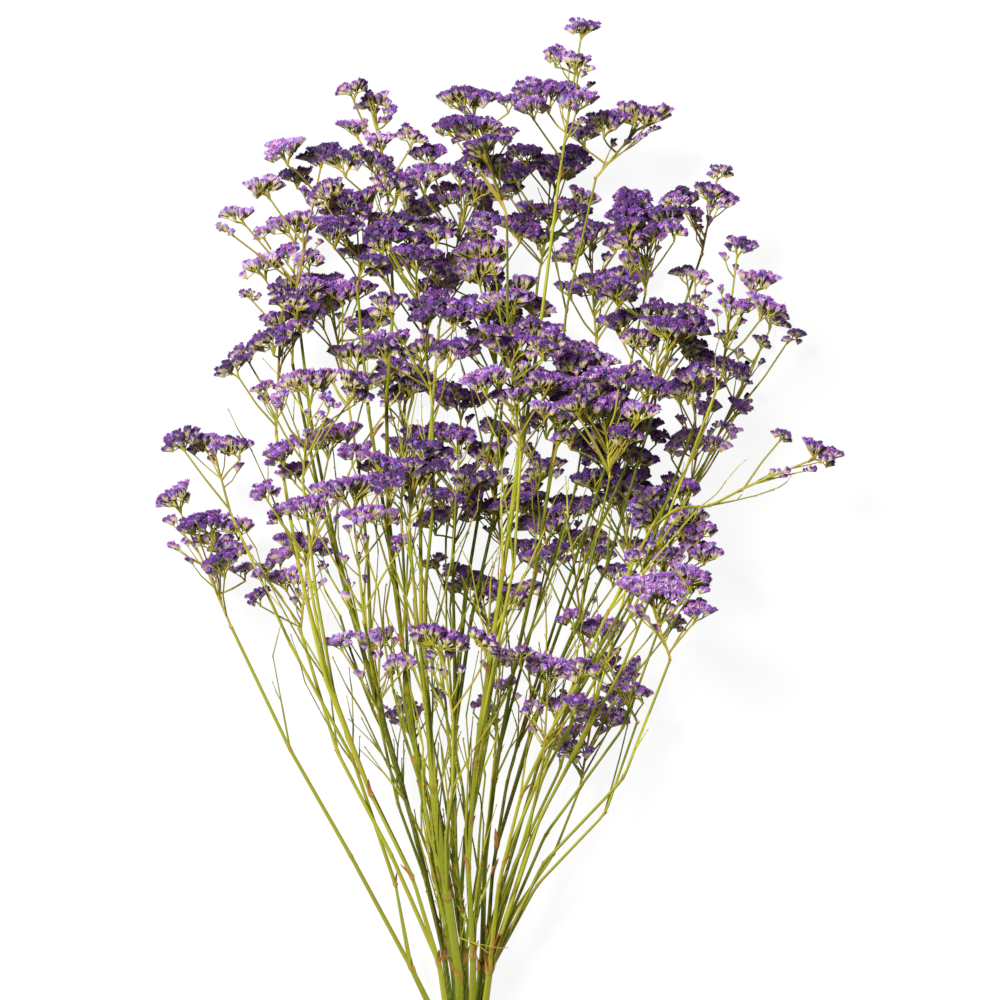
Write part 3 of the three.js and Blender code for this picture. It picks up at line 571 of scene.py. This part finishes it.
def grow_crown(centre, base, up, width, tint, stalks, florets, inner, rng, swell=1.0):
    """One flat-topped crown: forked stalks from its base, each with small fans of florets."""
    depth = np.array([0, 0, 1.0])
    side = np.cross(up, depth)
    loose = 1 + 0.8 * clamp((LOOSE_BELOW - centre[1]) / 20)
    roll = radians(rng.normal(0, ROLL)) * loose
    up, side = turned(up, side, roll)
    top, back = turned(up, depth, radians(rng.uniform(*NOD)))
    half_width, half_depth = width / 2, crown_depth(width)
    dome = rng.uniform(-0.02, 0.09) * width + 0.5

    def at(a, b, level):
        return centre + side * a + back * b + top * level

    cymes = max(4, round(pi * half_width * half_depth / CYME_AREA))
    sectors = int(clamp(round(cymes / 3.2), 2, 6))
    start_turn = rng.uniform(0, 2 * pi)
    sector_level = rng.uniform(-2.6, 1.4, sectors) * loose
    sector_reach = rng.uniform(0.86, 1.1, sectors)
    places = []
    for k in range(cymes):
        turn = (start_turn + k * GOLDEN_TURN + rng.uniform(-0.15, 0.15)) % (2 * pi)
        sector = int(turn / (2 * pi / sectors))
        reach = CROWN_FILL * sqrt((k + 0.5) / cymes) * sector_reach[sector]
        level = -dome * reach**2 + rng.uniform(-1.0, 0.8) + sector_level[sector]
        if reach > 0.5 and rng.random() < LOW_SHARE:
            level -= rng.uniform(2, 5)
        places.append((reach * half_width * sin(turn), reach * half_depth * cos(turn), level, reach, sector))

    rise = (centre - base) @ top
    length = clamp(0.52 * rise, 4.6, FLORET_LENGTH)
    forks = {}
    for sector in range(sectors):
        targets = [(a, b) for a, b, _, _, s in places if s == sector]
        if not targets:
            continue
        a, b = np.mean(targets, axis=0) * 0.42
        fork = at(a, b, -length - (rise - length) * rng.uniform(0.3, 0.5))
        forks[sector] = fork
        path = bezier(base, up, fork, unit(fork - base + top * 2), [0, 0.5, 1])
        path[0] -= up * 0.5
        tube(stalks, path, [0.58, 0.5, 0.45], 4, [rng.uniform(0.25, 0.85), rng.uniform(0, 0.3), 0])
        if rng.random() < FORK_SCALE_SHARE:
            along, outward = unit(fork - base), side * rng.choice([-1, 1]) + back * 0.5
            bract(stalks, fork - along * 0.9, along, outward, 0.35, 1.7, 1)

    for a, b, level, reach, sector in places:
        turn = atan2(b, a) + rng.uniform(-0.6, 0.6) if reach > 0.3 else rng.uniform(0, 2 * pi)
        heading, _ = turned(side, back, turn)
        outward = unit(top + (side * a / half_width + back * b / half_depth) * 0.6)
        count = int(CYME_FLORETS + rng.uniform(-1, 1.6))
        own_length = length * rng.uniform(0.88, 1.08)
        kind = florets if reach > 0.45 else inner
        end = grow_cyme(at(a, b, level), heading, outward, own_length, count, tint, kind, rng, swell)
        path = [forks[sector], end + outward]
        tube(stalks, path, [0.46, 0.32], 3, [rng.uniform(0.4, 0.9), rng.uniform(0, 0.3), 0])


def crowding(x, y):
    """How close the flower heads stand about a place in the bunch, from 0 to 1."""

    def nearness(places):
        return max(share * exp(-((x - cx) ** 2 + (y - cy) ** 2) / reach**2) for cx, cy, reach, share in places)

    core = CORE_FLAT - ((x - CORE_PLACE[0]) / CORE_REACH[0]) ** 2 - ((y - CORE_PLACE[1]) / CORE_REACH[1]) ** 2
    return clamp(max(clamp(core, 0, CORE_CROWDING), nearness(CROWDED_PLACES)) - nearness(OPEN_PLACES))


def on_leader(corners, share):
    """A point of a leader's middle line and its direction there."""
    half = 0 if share < 0.5 else 1
    before, after = corners[half], corners[half + 1]
    return lerp(before, after, 2 * share - half), unit(after - before)


def bent_path(start, base, up, shares, rng):
    """A branchlet's line: slightly bent on its way to the base of its crown, and a little way up into it."""
    bend = lerp(start, base, rng.uniform(*shares)) + rng.normal(0, 0.8, 3)
    return rounded([start, bend, base, base + up], 3)[:-1]


def grow_head(number, head):
    """The florets and the branchlets of a flower head."""
    name = f"flower_head_{number:02d}"
    rng = np.random.default_rng(FLORET_SEED + number)
    _, x, y, crowns, *_ = head
    foot, own_up = foot_of(name, head), foot_up(head)
    stalks = Surface("tone", "brown", "pith")
    florets, plain = [], []
    head_tint = rng.uniform(0.2, 0.68)
    leader = None  # corners of the first crown's branchlet, which carries all others
    for (cx, cy, width), offset in zip(crowns, crown_offsets(crowns)):
        up = lean(cx, cx - x, cy - y)
        centre = np.array([cx, cy, foot[2] + offset])
        base = centre - up * cone_depth(width)
        if leader is None:
            leader_top = base[1]
            leader = bezier(foot + own_up * SEAM, own_up, base, up, [0, 0.5, 1])
            path, radii = rounded(leader, 4), (0.84, 0.6)
        else:
            aside = abs(base[0] - x)
            lowest = 0.07 + rng.uniform(0, 0.35) * clamp(1 - aside / 25)
            share = clamp((base[1] - BRANCHLET_SLOPE * aside - y) / (leader_top - y), lowest, 0.8)
            start, along = on_leader(leader, share)
            path, radii = bent_path(start, base, up, (0.4, 0.65), rng), (0.7, 0.54)
            bract(stalks, start, along, base - start, 0.8, rng.uniform(2, 3.4), rng.uniform(0.6, 1))
        skin = [rng.uniform(0.35, 0.85), rng.uniform(0.05, 0.35), 0]
        tube(stalks, path, np.linspace(*radii, len(path)), 6, skin, RIDGE)
        tint = FADED_TINT if (cx, cy) in FADED_CROWNS else clamp(head_tint + rng.normal(0, 0.12), 0.05, 0.9)
        grow_crown(centre, base, up, WIDENING * width, tint, stalks, florets, plain, rng)
    edges = [cx + side * width / 2 for cx, _, width in crowns for side in (-1, 1)]
    left, right = min(edges), max(edges)
    highest = max(cy for _, cy, _ in crowns) + 14
    for _ in range(INNER_CROWNS):  # smaller crowns that stand behind, before and between the others
        start, along = on_leader(leader, rng.uniform(0.05, 0.9))
        width = rng.uniform(*INNER_WIDTHS)
        aside = np.array([rng.uniform(*INNER_SIDEWAYS), 0, rng.choice([-1, 1, 1]) * rng.uniform(*INNER_DEEP)])
        base = start + along * rng.uniform(10, 42) + aside
        base[0] = clamp(base[0], left + width / 2, right - width / 2)
        base[1] = min(base[1], highest - cone_depth(width))
        base[2] = clamp(base[2], LOW_Z, TOP_Z)
        up = unit(along + aside * 0.012)
        centre = base + up * cone_depth(width)
        if rng.random() > crowding(centre[0], centre[1]):
            continue
        path = bent_path(start, base, up, (0.35, 0.6), rng)
        # their stalks take only the darker half of the tones: painted shade for crowns among and behind the others
        tube(stalks, path, np.linspace(0.62, 0.5, len(path)), 5, [rng.uniform(0, 0.5), rng.uniform(0, 0.3), 0])
        # and their florets a tint a little darker than the head's: painted shade as well
        tint = clamp(head_tint + rng.normal(-0.1, 0.12), 0.05, 0.9)
        grow_crown(centre, base, up, width, tint, stalks, plain, plain, rng, INNER_SWELL)
    for _ in range(STRAYS):
        start, along = on_leader(leader, rng.uniform(0.1, 0.85))
        turn = rng.uniform(0, 2 * pi)
        outward = np.array([cos(turn), 0, 0.8 * sin(turn)])
        middle = start + along * rng.uniform(12, 28) + outward * rng.uniform(7, 16)
        middle[0] = clamp(middle[0], left, right)
        top = unit(along + 0.35 * outward)
        length, count = rng.uniform(5, 7), rng.integers(4, 8)
        tint = clamp(head_tint + rng.normal(0, 0.12))
        fork = grow_cyme(middle, unit(outward + 0.2 * along), top, length, count, tint, plain, rng)
        bend = lerp(start, fork, 0.5) + outward * rng.uniform(0, 2)
        tube(stalks, [start, bend, fork + top], [0.48, 0.42, 0.3], 4, [rng.uniform(0.4, 1), rng.uniform(0, 0.3), 0])
    flowers = Surface("along", "tint")
    add_florets(flowers, florets, LOBED_FLORET, rng)
    add_florets(flowers, plain, PLAIN_FLORET, rng)
    flowers.piece(name, "florets", "flower", floret_material, 50)
    stalks.piece(name, "branchlets", "stem", stem_material, 40)


# ---- stems

STEM_SEED = 500
GIRTHS = [0.62, 0.68, 0.7, 0.85, 1.4, 1.05, 0.85, 0.75, 0.65, 0.6, 0.55]  # of the stems, above the neck
STEM_TONES_AND_SHADE = [0.6, 0.75, 0.15, 0.3, 0.5, 0.05, 0.6, 0.3, 0.05, 0.7, 0.6]  # from dark green to yellow-green: partly each stem's own tone, partly painted shade, darkest for the low row that lies behind the others
TWIG_SHARE = 0.9  # of the nodes have a thin side shoot
TWIG_LOWEST_Y = 105
MIDDLE_STEMS = (3, 4, 5, 6, 7)  # with long bare shoots
SHOOTS_TO_Y = 190
LOW_NODE_Y = 130  # a node below this has a long scale, and more shoots
NODE_ROOM = 14  # between two nodes
SLENDER_FROM = 90  # above the neck, from where a stem has its own girth
DRY_SHOOT_STEM, DRY_SHOOT_Y = 5, 36  # a thin withered shoot that lies across the stems
DRY_LEAF_HEAD, DRY_LEAF_Y = "flower_head_07", 352  # the branch to this head bears the only leaf, withered
DRY_LEAF_LENGTH = 14


def trunk_points(stem, top_y):
    """The corners of a stem's middle line."""
    length = top_y - NECK_TOP_Y
    steps = round(length / STEM_STEP)
    points = []
    for y in [CUT_END_Y, NECK_BOTTOM_Y] + [NECK_TOP_Y + length * i / steps for i in range(steps + 1)]:
        z = lerp(NECK_Z, CORE_Z, openness(y)) + stem[0] * lerp(NECK_PITCH, ROW_SPREAD, openness(y))
        points.append((stem_x(stem, y), y, z))
    return np.array(points)


def place_on_trunk(points, y):
    """The point of a stem's middle line at a height, and its direction there."""
    after = int(np.argmax(points[:, 1] > y))
    before, beyond = points[after - 1], points[after]
    return lerp(before, beyond, (y - before[1]) / (beyond[1] - before[1])), unit(beyond - before)


def points_at(wanted, places, path):
    """Points of a path at the wanted places, where each corner of the path has its place."""
    return np.stack([np.interp(wanted, places, path[:, axis]) for axis in range(3)], axis=-1)


def swell(radii, brown, places, node, reach, share, rng):
    """The radii and the brown of a stalk, with a node more: thicker and browner there."""
    near = np.exp(-(((places - node) / reach) ** 2))
    return radii * (1 + share * near), np.maximum(brown, rng.uniform(0.1, 0.5) * near)


def grow_stem(number):
    """A main stem with its cut end, the branches to its flower heads, and the scales and twigs at its nodes."""
    name = f"stem_{number:02d}"
    rng = np.random.default_rng(STEM_SEED + number)
    skin = Surface("tone", "brown", "pith")
    forks = sorted(leave_height(head) for head in HEADS if head[0] == number)
    corners = trunk_points(STEMS[number - 1], forks[-1] + FORK_STUB)
    top_y = corners[-1][1]
    nodes = [(fork, True) for fork in forks]
    nodes += [(y, False) for y in corners[3:-1, 1] if min(abs(y - fork) for fork in forks) > NODE_ROOM]
    smooth = rounded(corners, 7)
    heights = set(smooth[:, 1])
    for node, _ in nodes:  # rings close to each node, for its swelling
        heights = {h for h in heights if abs(h - node) > 2.5 or h in (CUT_END_Y, top_y)}
        heights |= {node + d for d in (-4, -1.6, 0, 1.4, 3.6) if node + d < top_y - 0.5}
    heights = np.array(sorted(heights))
    path = points_at(heights, smooth[:, 1], smooth)
    tapered = lerp(STEM_RADIUS, STEM_TIP_RADIUS, (heights - CUT_END_Y) / (top_y - CUT_END_Y))
    slender = np.clip((heights - NECK_TOP_Y) / SLENDER_FROM, 0, 1)
    radii = lerp(STEM_RADIUS, tapered * GIRTHS[number - 1], slender)
    brown = np.zeros(len(heights))
    for node, forked in nodes:
        radii, brown = swell(radii, brown, heights, node, 1.7, 0.28 if forked else 0.16, rng)
    # the cut end: a rim, and a face a little hollow with its pith
    path, radii = np.concatenate([path[[0, 0, 0]], path]), np.concatenate([radii[[0, 0, 0]], radii])
    path[:4, 1] += [0.7, 0.15, 0, 0.5]
    radii[:4] *= [0.25, 0.7, 0.97, 1]
    radii[-1] *= 0.4
    values = np.zeros((len(path), 3))
    # the stem's tone, with the painted shade of its row, and a little random change along it
    values[:, 0] = STEM_TONES_AND_SHADE[number - 1] + rng.normal(0, 0.08, len(path))
    values[3:, 1] = brown
    values[:3, 2] = [1, 0.8, 0.2]
    course = path.copy()
    course[:4, 1] = path[3, 1] - np.array([0.3, 0.2, 0.1, 0])  # the cut end's rings stand as the stalk's own do
    tube(skin, path, radii, 10, values, RIDGE, course)
    for node, forked in nodes:
        point, along = place_on_trunk(corners, node)
        radius = np.interp(node, path[3:, 1], radii[3:]) * 0.85
        outward = np.array([rng.choice([-1, 1]), 0, rng.uniform(-0.3, 1.2)])
        low = node < LOW_NODE_Y
        if forked or low or rng.random() < 0.5:
            length = rng.uniform(7, 14) if low else rng.uniform(3, 6.5)
            bract(skin, point - along, along, outward, radius, length, rng.uniform(0.75, 1))
        if number in MIDDLE_STEMS and 0 < node < SHOOTS_TO_Y:  # long bare shoots
            for _ in range(2 if low else 1):
                grow_twig(skin, point, along, rng.uniform(50, 140), rng.uniform(0.8, 1.3), 1, rng, 0.16)
        elif node > TWIG_LOWEST_Y and rng.random() < TWIG_SHARE:
            grow_twig(skin, point, along, rng.uniform(45, 120), 0.85, 2, rng)
    if number == DRY_SHOOT_STEM:
        point, _ = place_on_trunk(corners, DRY_SHOOT_Y)
        grow_twig(skin, point, np.array([0.9, -0.28, 0.33]), 27, 0.5, 2, rng, 0.25)
    for head_number, head in enumerate(HEADS, 1):
        if head[0] == number:
            grow_branch(skin, corners, head, f"flower_head_{head_number:02d}", rng)
    skin.piece(name, "stalks", "stem", stem_material, 40)


def grow_twig(skin, start, along, length, radius, level, rng, slant=0.35):
    """A thin side shoot of a few straight stretches, with a scale at each bend and shoots of its own."""
    turn = rng.uniform(0, 2 * pi)
    outward = np.array([cos(turn), 0, 0.55 * sin(turn)])
    direction = unit(along + outward * rng.uniform(0.6, 1.4) * slant)
    stretches = max(2, round(length / rng.uniform(18, 30)))
    corners = [start]
    for _ in range(stretches):
        corners.append(corners[-1] + direction * length / stretches)
        direction = unit(direction + [0, 0.12, 0] + rng.normal(0, 0.09, 3))
        if corners[-1][2] < 6:  # it bends up from the surface
            direction = unit(direction + [0, 0, 0.4])
    path = rounded(corners, 2.5)
    tone = rng.uniform(0.05, 1)
    tube(skin, path, np.linspace(radius, 0.5 * radius, len(path)), 5, [tone, 0.05, 0])
    for before, corner in zip(corners, corners[1:]):
        step = unit(corner - before)
        side = unit(rng.normal(0, 1, 3))
        bract(skin, corner - step * 1.2, step, side, 0.4 * radius, rng.uniform(1.4, 2.6), rng.uniform(0.6, 1))
        if level > 0 and rng.random() < 0.75:
            grow_twig(skin, corner, step, length * rng.uniform(0.2, 0.45), radius * 0.62, level - 1, rng)


def grow_branch(skin, trunk, head, head_name, rng):
    """The branch from a stem to the foot of a head."""
    start, direction = place_on_trunk(trunk, leave_height(head))
    corners = bezier(start, direction, foot_of(head_name, head), foot_up(head), [0, 1 / 3, 2 / 3, 1])
    path = rounded(corners, 6)
    lengths = np.concatenate([[0], np.cumsum(norm(np.diff(path, axis=0), axis=1))])
    total = lengths[-1]
    nodes = [norm(corners[1] - corners[0]), total - norm(corners[3] - corners[2]), total]
    stations = {*lengths, 1.5, 4.0}
    for node in nodes:  # rings close to each node, for its swelling
        stations |= {node + d for d in (-2.4, -1, 0, 1.1) if 1 < node + d < total}
    stations = np.array(sorted(stations))
    path = points_at(stations, lengths, path)
    girth = rng.uniform(0.85, 1.15) * (0.85 if head[0] > 7 else 1)
    radii = lerp(1.25, 0.85, stations / total) * girth * (1 + 0.4 * np.exp(-((stations / 2.5) ** 2)))
    brown = 0.35 * np.exp(-((stations / 3) ** 2))
    for node in nodes:
        radii, brown = swell(radii, brown, stations, node, 1.2, 0.22, rng)
    # a branch starts with the tone of its stem, painted shade included
    tone = STEM_TONES_AND_SHADE[head[0] - 1]
    tones = lerp(tone, clamp(tone + rng.uniform(-0.1, 0.45)), stations / total)
    tube(skin, path, radii, 8, np.stack([tones, brown, 0 * brown], axis=1), RIDGE)
    for node in nodes:
        point = points_at(node, stations, path)
        along = unit(point - points_at(node - 2, stations, path))
        outward = np.array([rng.choice([-1, 1]), 0, rng.uniform(-0.5, 1)])
        bract(skin, point - along, along, outward, 0.9, rng.uniform(2.2, 4), rng.uniform(0.6, 1))
        if node < total and point[1] > TWIG_LOWEST_Y and rng.random() < TWIG_SHARE:
            grow_twig(skin, point, along, rng.uniform(30, 80), 0.7, 1, rng)
    if head_name == DRY_LEAF_HEAD:
        place = points_at(DRY_LEAF_Y, path[:, 1], path)
        bract(skin, place, unit(np.array([0.55, 1, 0.5])), np.array([0.6, 0, 0.8]), 1, DRY_LEAF_LENGTH, 1, 0.35)


# ---- the tie

TIE_TURNS = 4
TIE_STEPS = 60  # of one turn
TIE_START = 0.05  # of the way round the neck
TIE_SPREAD = 3  # of the turns' middles, to each side of the tie's
STRAND_WIDTH = 1.9
STRAND_THICKNESS = TIE_THICKNESS - 0.25
STRAND_PROFILE = [(-1, -0.6), (-0.7, -1), (0.7, -1), (1, -0.6), (1, 0.6), (0.7, 1), (-0.7, 1), (-1, 0.6)]
CROSSING, CROSSING_LIFT = 0.42, 1.15  # of a turn, and its height over the others


def neck_outline(distance, share):
    """A point of the outline round the stems in the neck, and its outward direction, at a share of the way round."""
    wide, narrow = 1.5 * NECK_PITCH, NECK_PITCH
    corners = [
        (wide, 0), (wide, NECK_PITCH), (-wide, NECK_PITCH), (-wide, 0), (-narrow, -NECK_PITCH), (narrow, -NECK_PITCH),
    ]
    knots = []  # x, z and the way out, before and after the turn at each corner
    for before, (x, z), after in zip(corners[-1:] + corners, corners, corners[1:] + corners):
        knots.append((x, z, atan2(z - before[1], x - before[0]) - pi / 2))
        knots.append((x, z, atan2(after[1] - z, after[0] - x) - pi / 2))
    knots = np.array([*knots, knots[0]])
    knots[:, 2] = np.unwrap(knots[:, 2])
    steps = np.diff(knots, axis=0)
    places = np.cumsum([0, *(np.hypot(steps[:, 0], steps[:, 1]) + distance * steps[:, 2])])
    x, z, turn = points_at(share % 1 * places[-1], places, knots)
    outward = np.array([cos(turn), 0, sin(turn)])
    return np.array([NECK_X + x, 0, NECK_Z + z]) + outward * distance, outward


def grow_tie():
    """A flat rubber band wound four times round the neck. Its last turn crosses back over the others on top."""
    skin = Surface()
    steps = TIE_TURNS * TIE_STEPS
    cross_from = (TIE_TURNS - CROSSING) / TIE_TURNS
    half_thickness = STRAND_THICKNESS / 2
    rings = []
    for step in range(steps):
        share = step / steps
        if share < cross_from:
            level, lift = lerp(-TIE_SPREAD, TIE_SPREAD, share / cross_from), 0
        else:
            back = (share - cross_from) / (1 - cross_from)
            level = lerp(TIE_SPREAD, -TIE_SPREAD, back * back * (3 - 2 * back))
            lift = CROSSING_LIFT * sin(pi * back) ** 0.6
        middle, outward = neck_outline(STEM_RADIUS + SEAM + 0.1 + half_thickness, TIE_START + share * TIE_TURNS)
        middle = middle + outward * lift + [0, TIE_Y + level, 0]
        for a, b in STRAND_PROFILE:
            rings.append(middle + np.array([0, a * STRAND_WIDTH / 2, 0]) + outward * b * half_thickness)
    triangles = np.array(bands([(i, (i + 1) % steps) for i in range(steps)], len(STRAND_PROFILE)))
    skin.add(np.array(rings), triangles[:, [0, 2, 1]], [])
    skin.piece("tie_band", "turns", "tie", tie_material, 50)


# ---- materials


class Look:
    """A material in the making, with the nodes that colour it."""

    def __init__(self, name):
        self.material = bpy.data.materials.new(name)
        self.material.use_nodes = True
        self.tree = self.material.node_tree

    def feed(self, node, sockets):
        """Gives each socket of a node its value, or a link from another node."""
        for socket, value in sockets.items():
            if isinstance(value, bpy.types.NodeSocket):
                self.tree.links.new(value, node.inputs[socket])
            else:
                node.inputs[socket].default_value = value

    def node(self, kind, sockets={}, **settings):
        node = self.tree.nodes.new("ShaderNode" + kind)
        for name, value in settings.items():
            setattr(node, name, value)
        self.feed(node, sockets)
        return node

    def value(self, name):
        """One of the values at the points of a surface."""
        return self.node("Attribute", attribute_name=name).outputs["Fac"]

    def ramp(self, factor, *stops):
        node = self.node("ValToRGB", {"Fac": factor})
        elements = node.color_ramp.elements
        while len(elements) < len(stops):
            elements.new(0.5)
        for element, (position, colour) in zip(elements, stops):
            element.position = position
            element.color = (*colour, 1)
        return node.outputs["Color"]

    def share(self, factor, low, high, most=1.0):
        """Nothing up to the low mark, and the most from the high one on."""
        return self.ramp(factor, (low, (0, 0, 0)), (high, (most, most, most)))

    def mix(self, factor, a, b, blend="MIX"):
        return self.node("Mix", {0: factor, 6: a, 7: b}, data_type="RGBA", blend_type=blend).outputs[2]

    def noise(self, scale, stretch=(1, 1, 1), detail=3.0):
        place = self.node("TexCoord").outputs["Object"]
        vector = self.node("Mapping", {"Scale": stretch, "Vector": place}).outputs["Vector"]
        return self.node("TexNoise", {"Scale": scale, "Detail": detail, "Vector": vector}).outputs["Fac"]

    def bump(self, height, strength, distance):
        return self.node("Bump", {"Height": height, "Strength": strength, "Distance": distance}).outputs["Normal"]

    def finish(self, sockets):
        self.feed(next(node for node in self.tree.nodes if node.type == "BSDF_PRINCIPLED"), sockets)
        return self.material


# papery: a straw-coloured tube, a pale throat, and a limb that runs from deep violet to lavender
look = Look("statice_floret")
along = look.value("along")
limb = look.ramp(
    look.value("tint"), (0.0, (0.03, 0.007, 0.06)), (0.3, (0.1, 0.022, 0.18)), (0.55, (0.21, 0.055, 0.32)),
    (0.8, (0.36, 0.17, 0.45)), (1.0, (0.58, 0.45, 0.63)),
)
hue = look.ramp(look.noise(260, detail=1.0), (0.4, (0.78, 1.0, 1.22)), (0.6, (1.24, 0.94, 0.92)))
limb = look.mix(1.0, limb, hue, "MULTIPLY")
straw = look.ramp(
    along, (0.0, (0.26, 0.24, 0.05)), (0.3, (0.4, 0.34, 0.13)), (0.52, (0.56, 0.49, 0.28)), (0.66, (0.54, 0.42, 0.42))
)
floret_material = look.finish({
    "Base Color": look.mix(look.share(along, 0.57, 0.82), straw, limb),
    "Normal": look.bump(look.noise(900), 0.5, 0.0002),
    "Roughness": 0.75, "Sheen Weight": 0.25, "Sheen Roughness": 0.5, "Specular IOR Level": 0.25,
})

# dry green stalks with fine streaks, brown at the nodes and scales, and pale pith in the cut ends
look = Look("statice_stem")
streaks, patches = look.noise(60, (22, 1.2, 22), 4.0), look.noise(28)
# the tone runs from dark green to yellow-green; its dark end is partly painted shade on the low-row stems and the
# stalks of the inner crowns
bark = look.ramp(
    look.value("tone"), (0.0, (0.035, 0.068, 0.002)), (0.4, (0.155, 0.2, 0.006)), (1.0, (0.45, 0.45, 0.045))
)
bark = look.mix(look.share(streaks, 0.45, 0.7, 0.8), bark, (0.34, 0.32, 0.04, 1))
bark = look.mix(look.share(patches, 0.55, 0.75, 0.6), bark, (0.3, 0.2, 0.03, 1))
bark = look.mix(look.value("brown"), bark, look.mix(streaks, (0.56, 0.23, 0.065, 1), (0.33, 0.13, 0.035, 1)))
stem_material = look.finish({
    "Base Color": look.mix(look.value("pith"), bark, (0.68, 0.6, 0.36, 1)),
    "Normal": look.bump(streaks, 0.6, 0.0003),
    "Roughness": 0.6, "Specular IOR Level": 0.12,
})

# natural rubber, slightly bloomed and rubbed
look = Look("natural_rubber")
tie_material = look.finish({
    "Base Color": look.ramp(look.noise(160), (0.35, (0.5, 0.32, 0.13)), (0.7, (0.66, 0.48, 0.24))),
    "Normal": look.bump(look.noise(2500), 0.3, 0.0001),
    "Roughness": 0.55, "Coat Weight": 0.08,
})

# a pale card that glows evenly, as a lit backdrop does
look = Look("pale_surface")
floor_material = look.finish({
    "Base Color": look.ramp(look.noise(300), (0.3, (0.07, 0.07, 0.07)), (0.7, (0.074, 0.074, 0.074))),
    "Roughness": 0.9, "Specular IOR Level": 0.1, "Emission Color": (1, 1, 1, 1), "Emission Strength": 0.915,
})

# ---- camera, light and floor

FRAME_SIDE = 625  # of the square that the photograph's frame covers at the bunch's middle
FRAME_MIDDLE = (0, 312.5)
MIDDLE_Z = 90
FOCAL_LENGTH = 135
SENSOR = 36
FLOOR_REACH = 6.0  # metres to each side
FLOOR_Z = -0.0002
LIGHT_PLACE, LIGHT_AIM = Vector((-1.3, 1.4, 3.4)), Vector((0, 0.05, 0.05))

camera = add_object("camera", bpy.data.cameras.new("camera"))
camera.data.lens, camera.data.sensor_width, camera.data.clip_end = FOCAL_LENGTH, SENSOR, 50
camera.location = to_metres([*FRAME_MIDDLE, MIDDLE_Z + FRAME_SIDE * FOCAL_LENGTH / SENSOR])
bpy.context.scene.camera = camera
bpy.context.scene.view_settings.view_transform = "Standard"

world = bpy.data.worlds.new("studio")
world.use_nodes = True
background = next(node for node in world.node_tree.nodes if node.type == "BACKGROUND")
background.inputs["Color"].default_value = (1, 0.98, 0.94, 1)
background.inputs["Strength"].default_value = 0.2
bpy.context.scene.world = world

light = bpy.data.lights.new("key", "AREA")
light.shape, light.size, light.energy, light.color = "SQUARE", 0.8, 262, (1, 0.985, 0.95)
lamp = add_object("key", light)
lamp.location = LIGHT_PLACE
lamp.rotation_mode = "QUATERNION"
lamp.rotation_quaternion = (LIGHT_AIM - LIGHT_PLACE).to_track_quat("-Z", "Y")

floor_mesh = bpy.data.meshes.new("floor")
floor_corners = [(x * FLOOR_REACH, y * FLOOR_REACH, FLOOR_Z) for x, y in [(-1, -1), (1, -1), (1, 1), (-1, 1)]]
floor_mesh.from_pydata(floor_corners, [], [(0, 1, 2, 3)])
floor_mesh.materials.append(floor_material)
floor = add_object("floor", floor_mesh)

# ---- the bunch

grow_tie()
for number in range(1, len(STEMS) + 1):
    grow_stem(number)
for number, head in enumerate(HEADS, 1):
    grow_head(number, head)
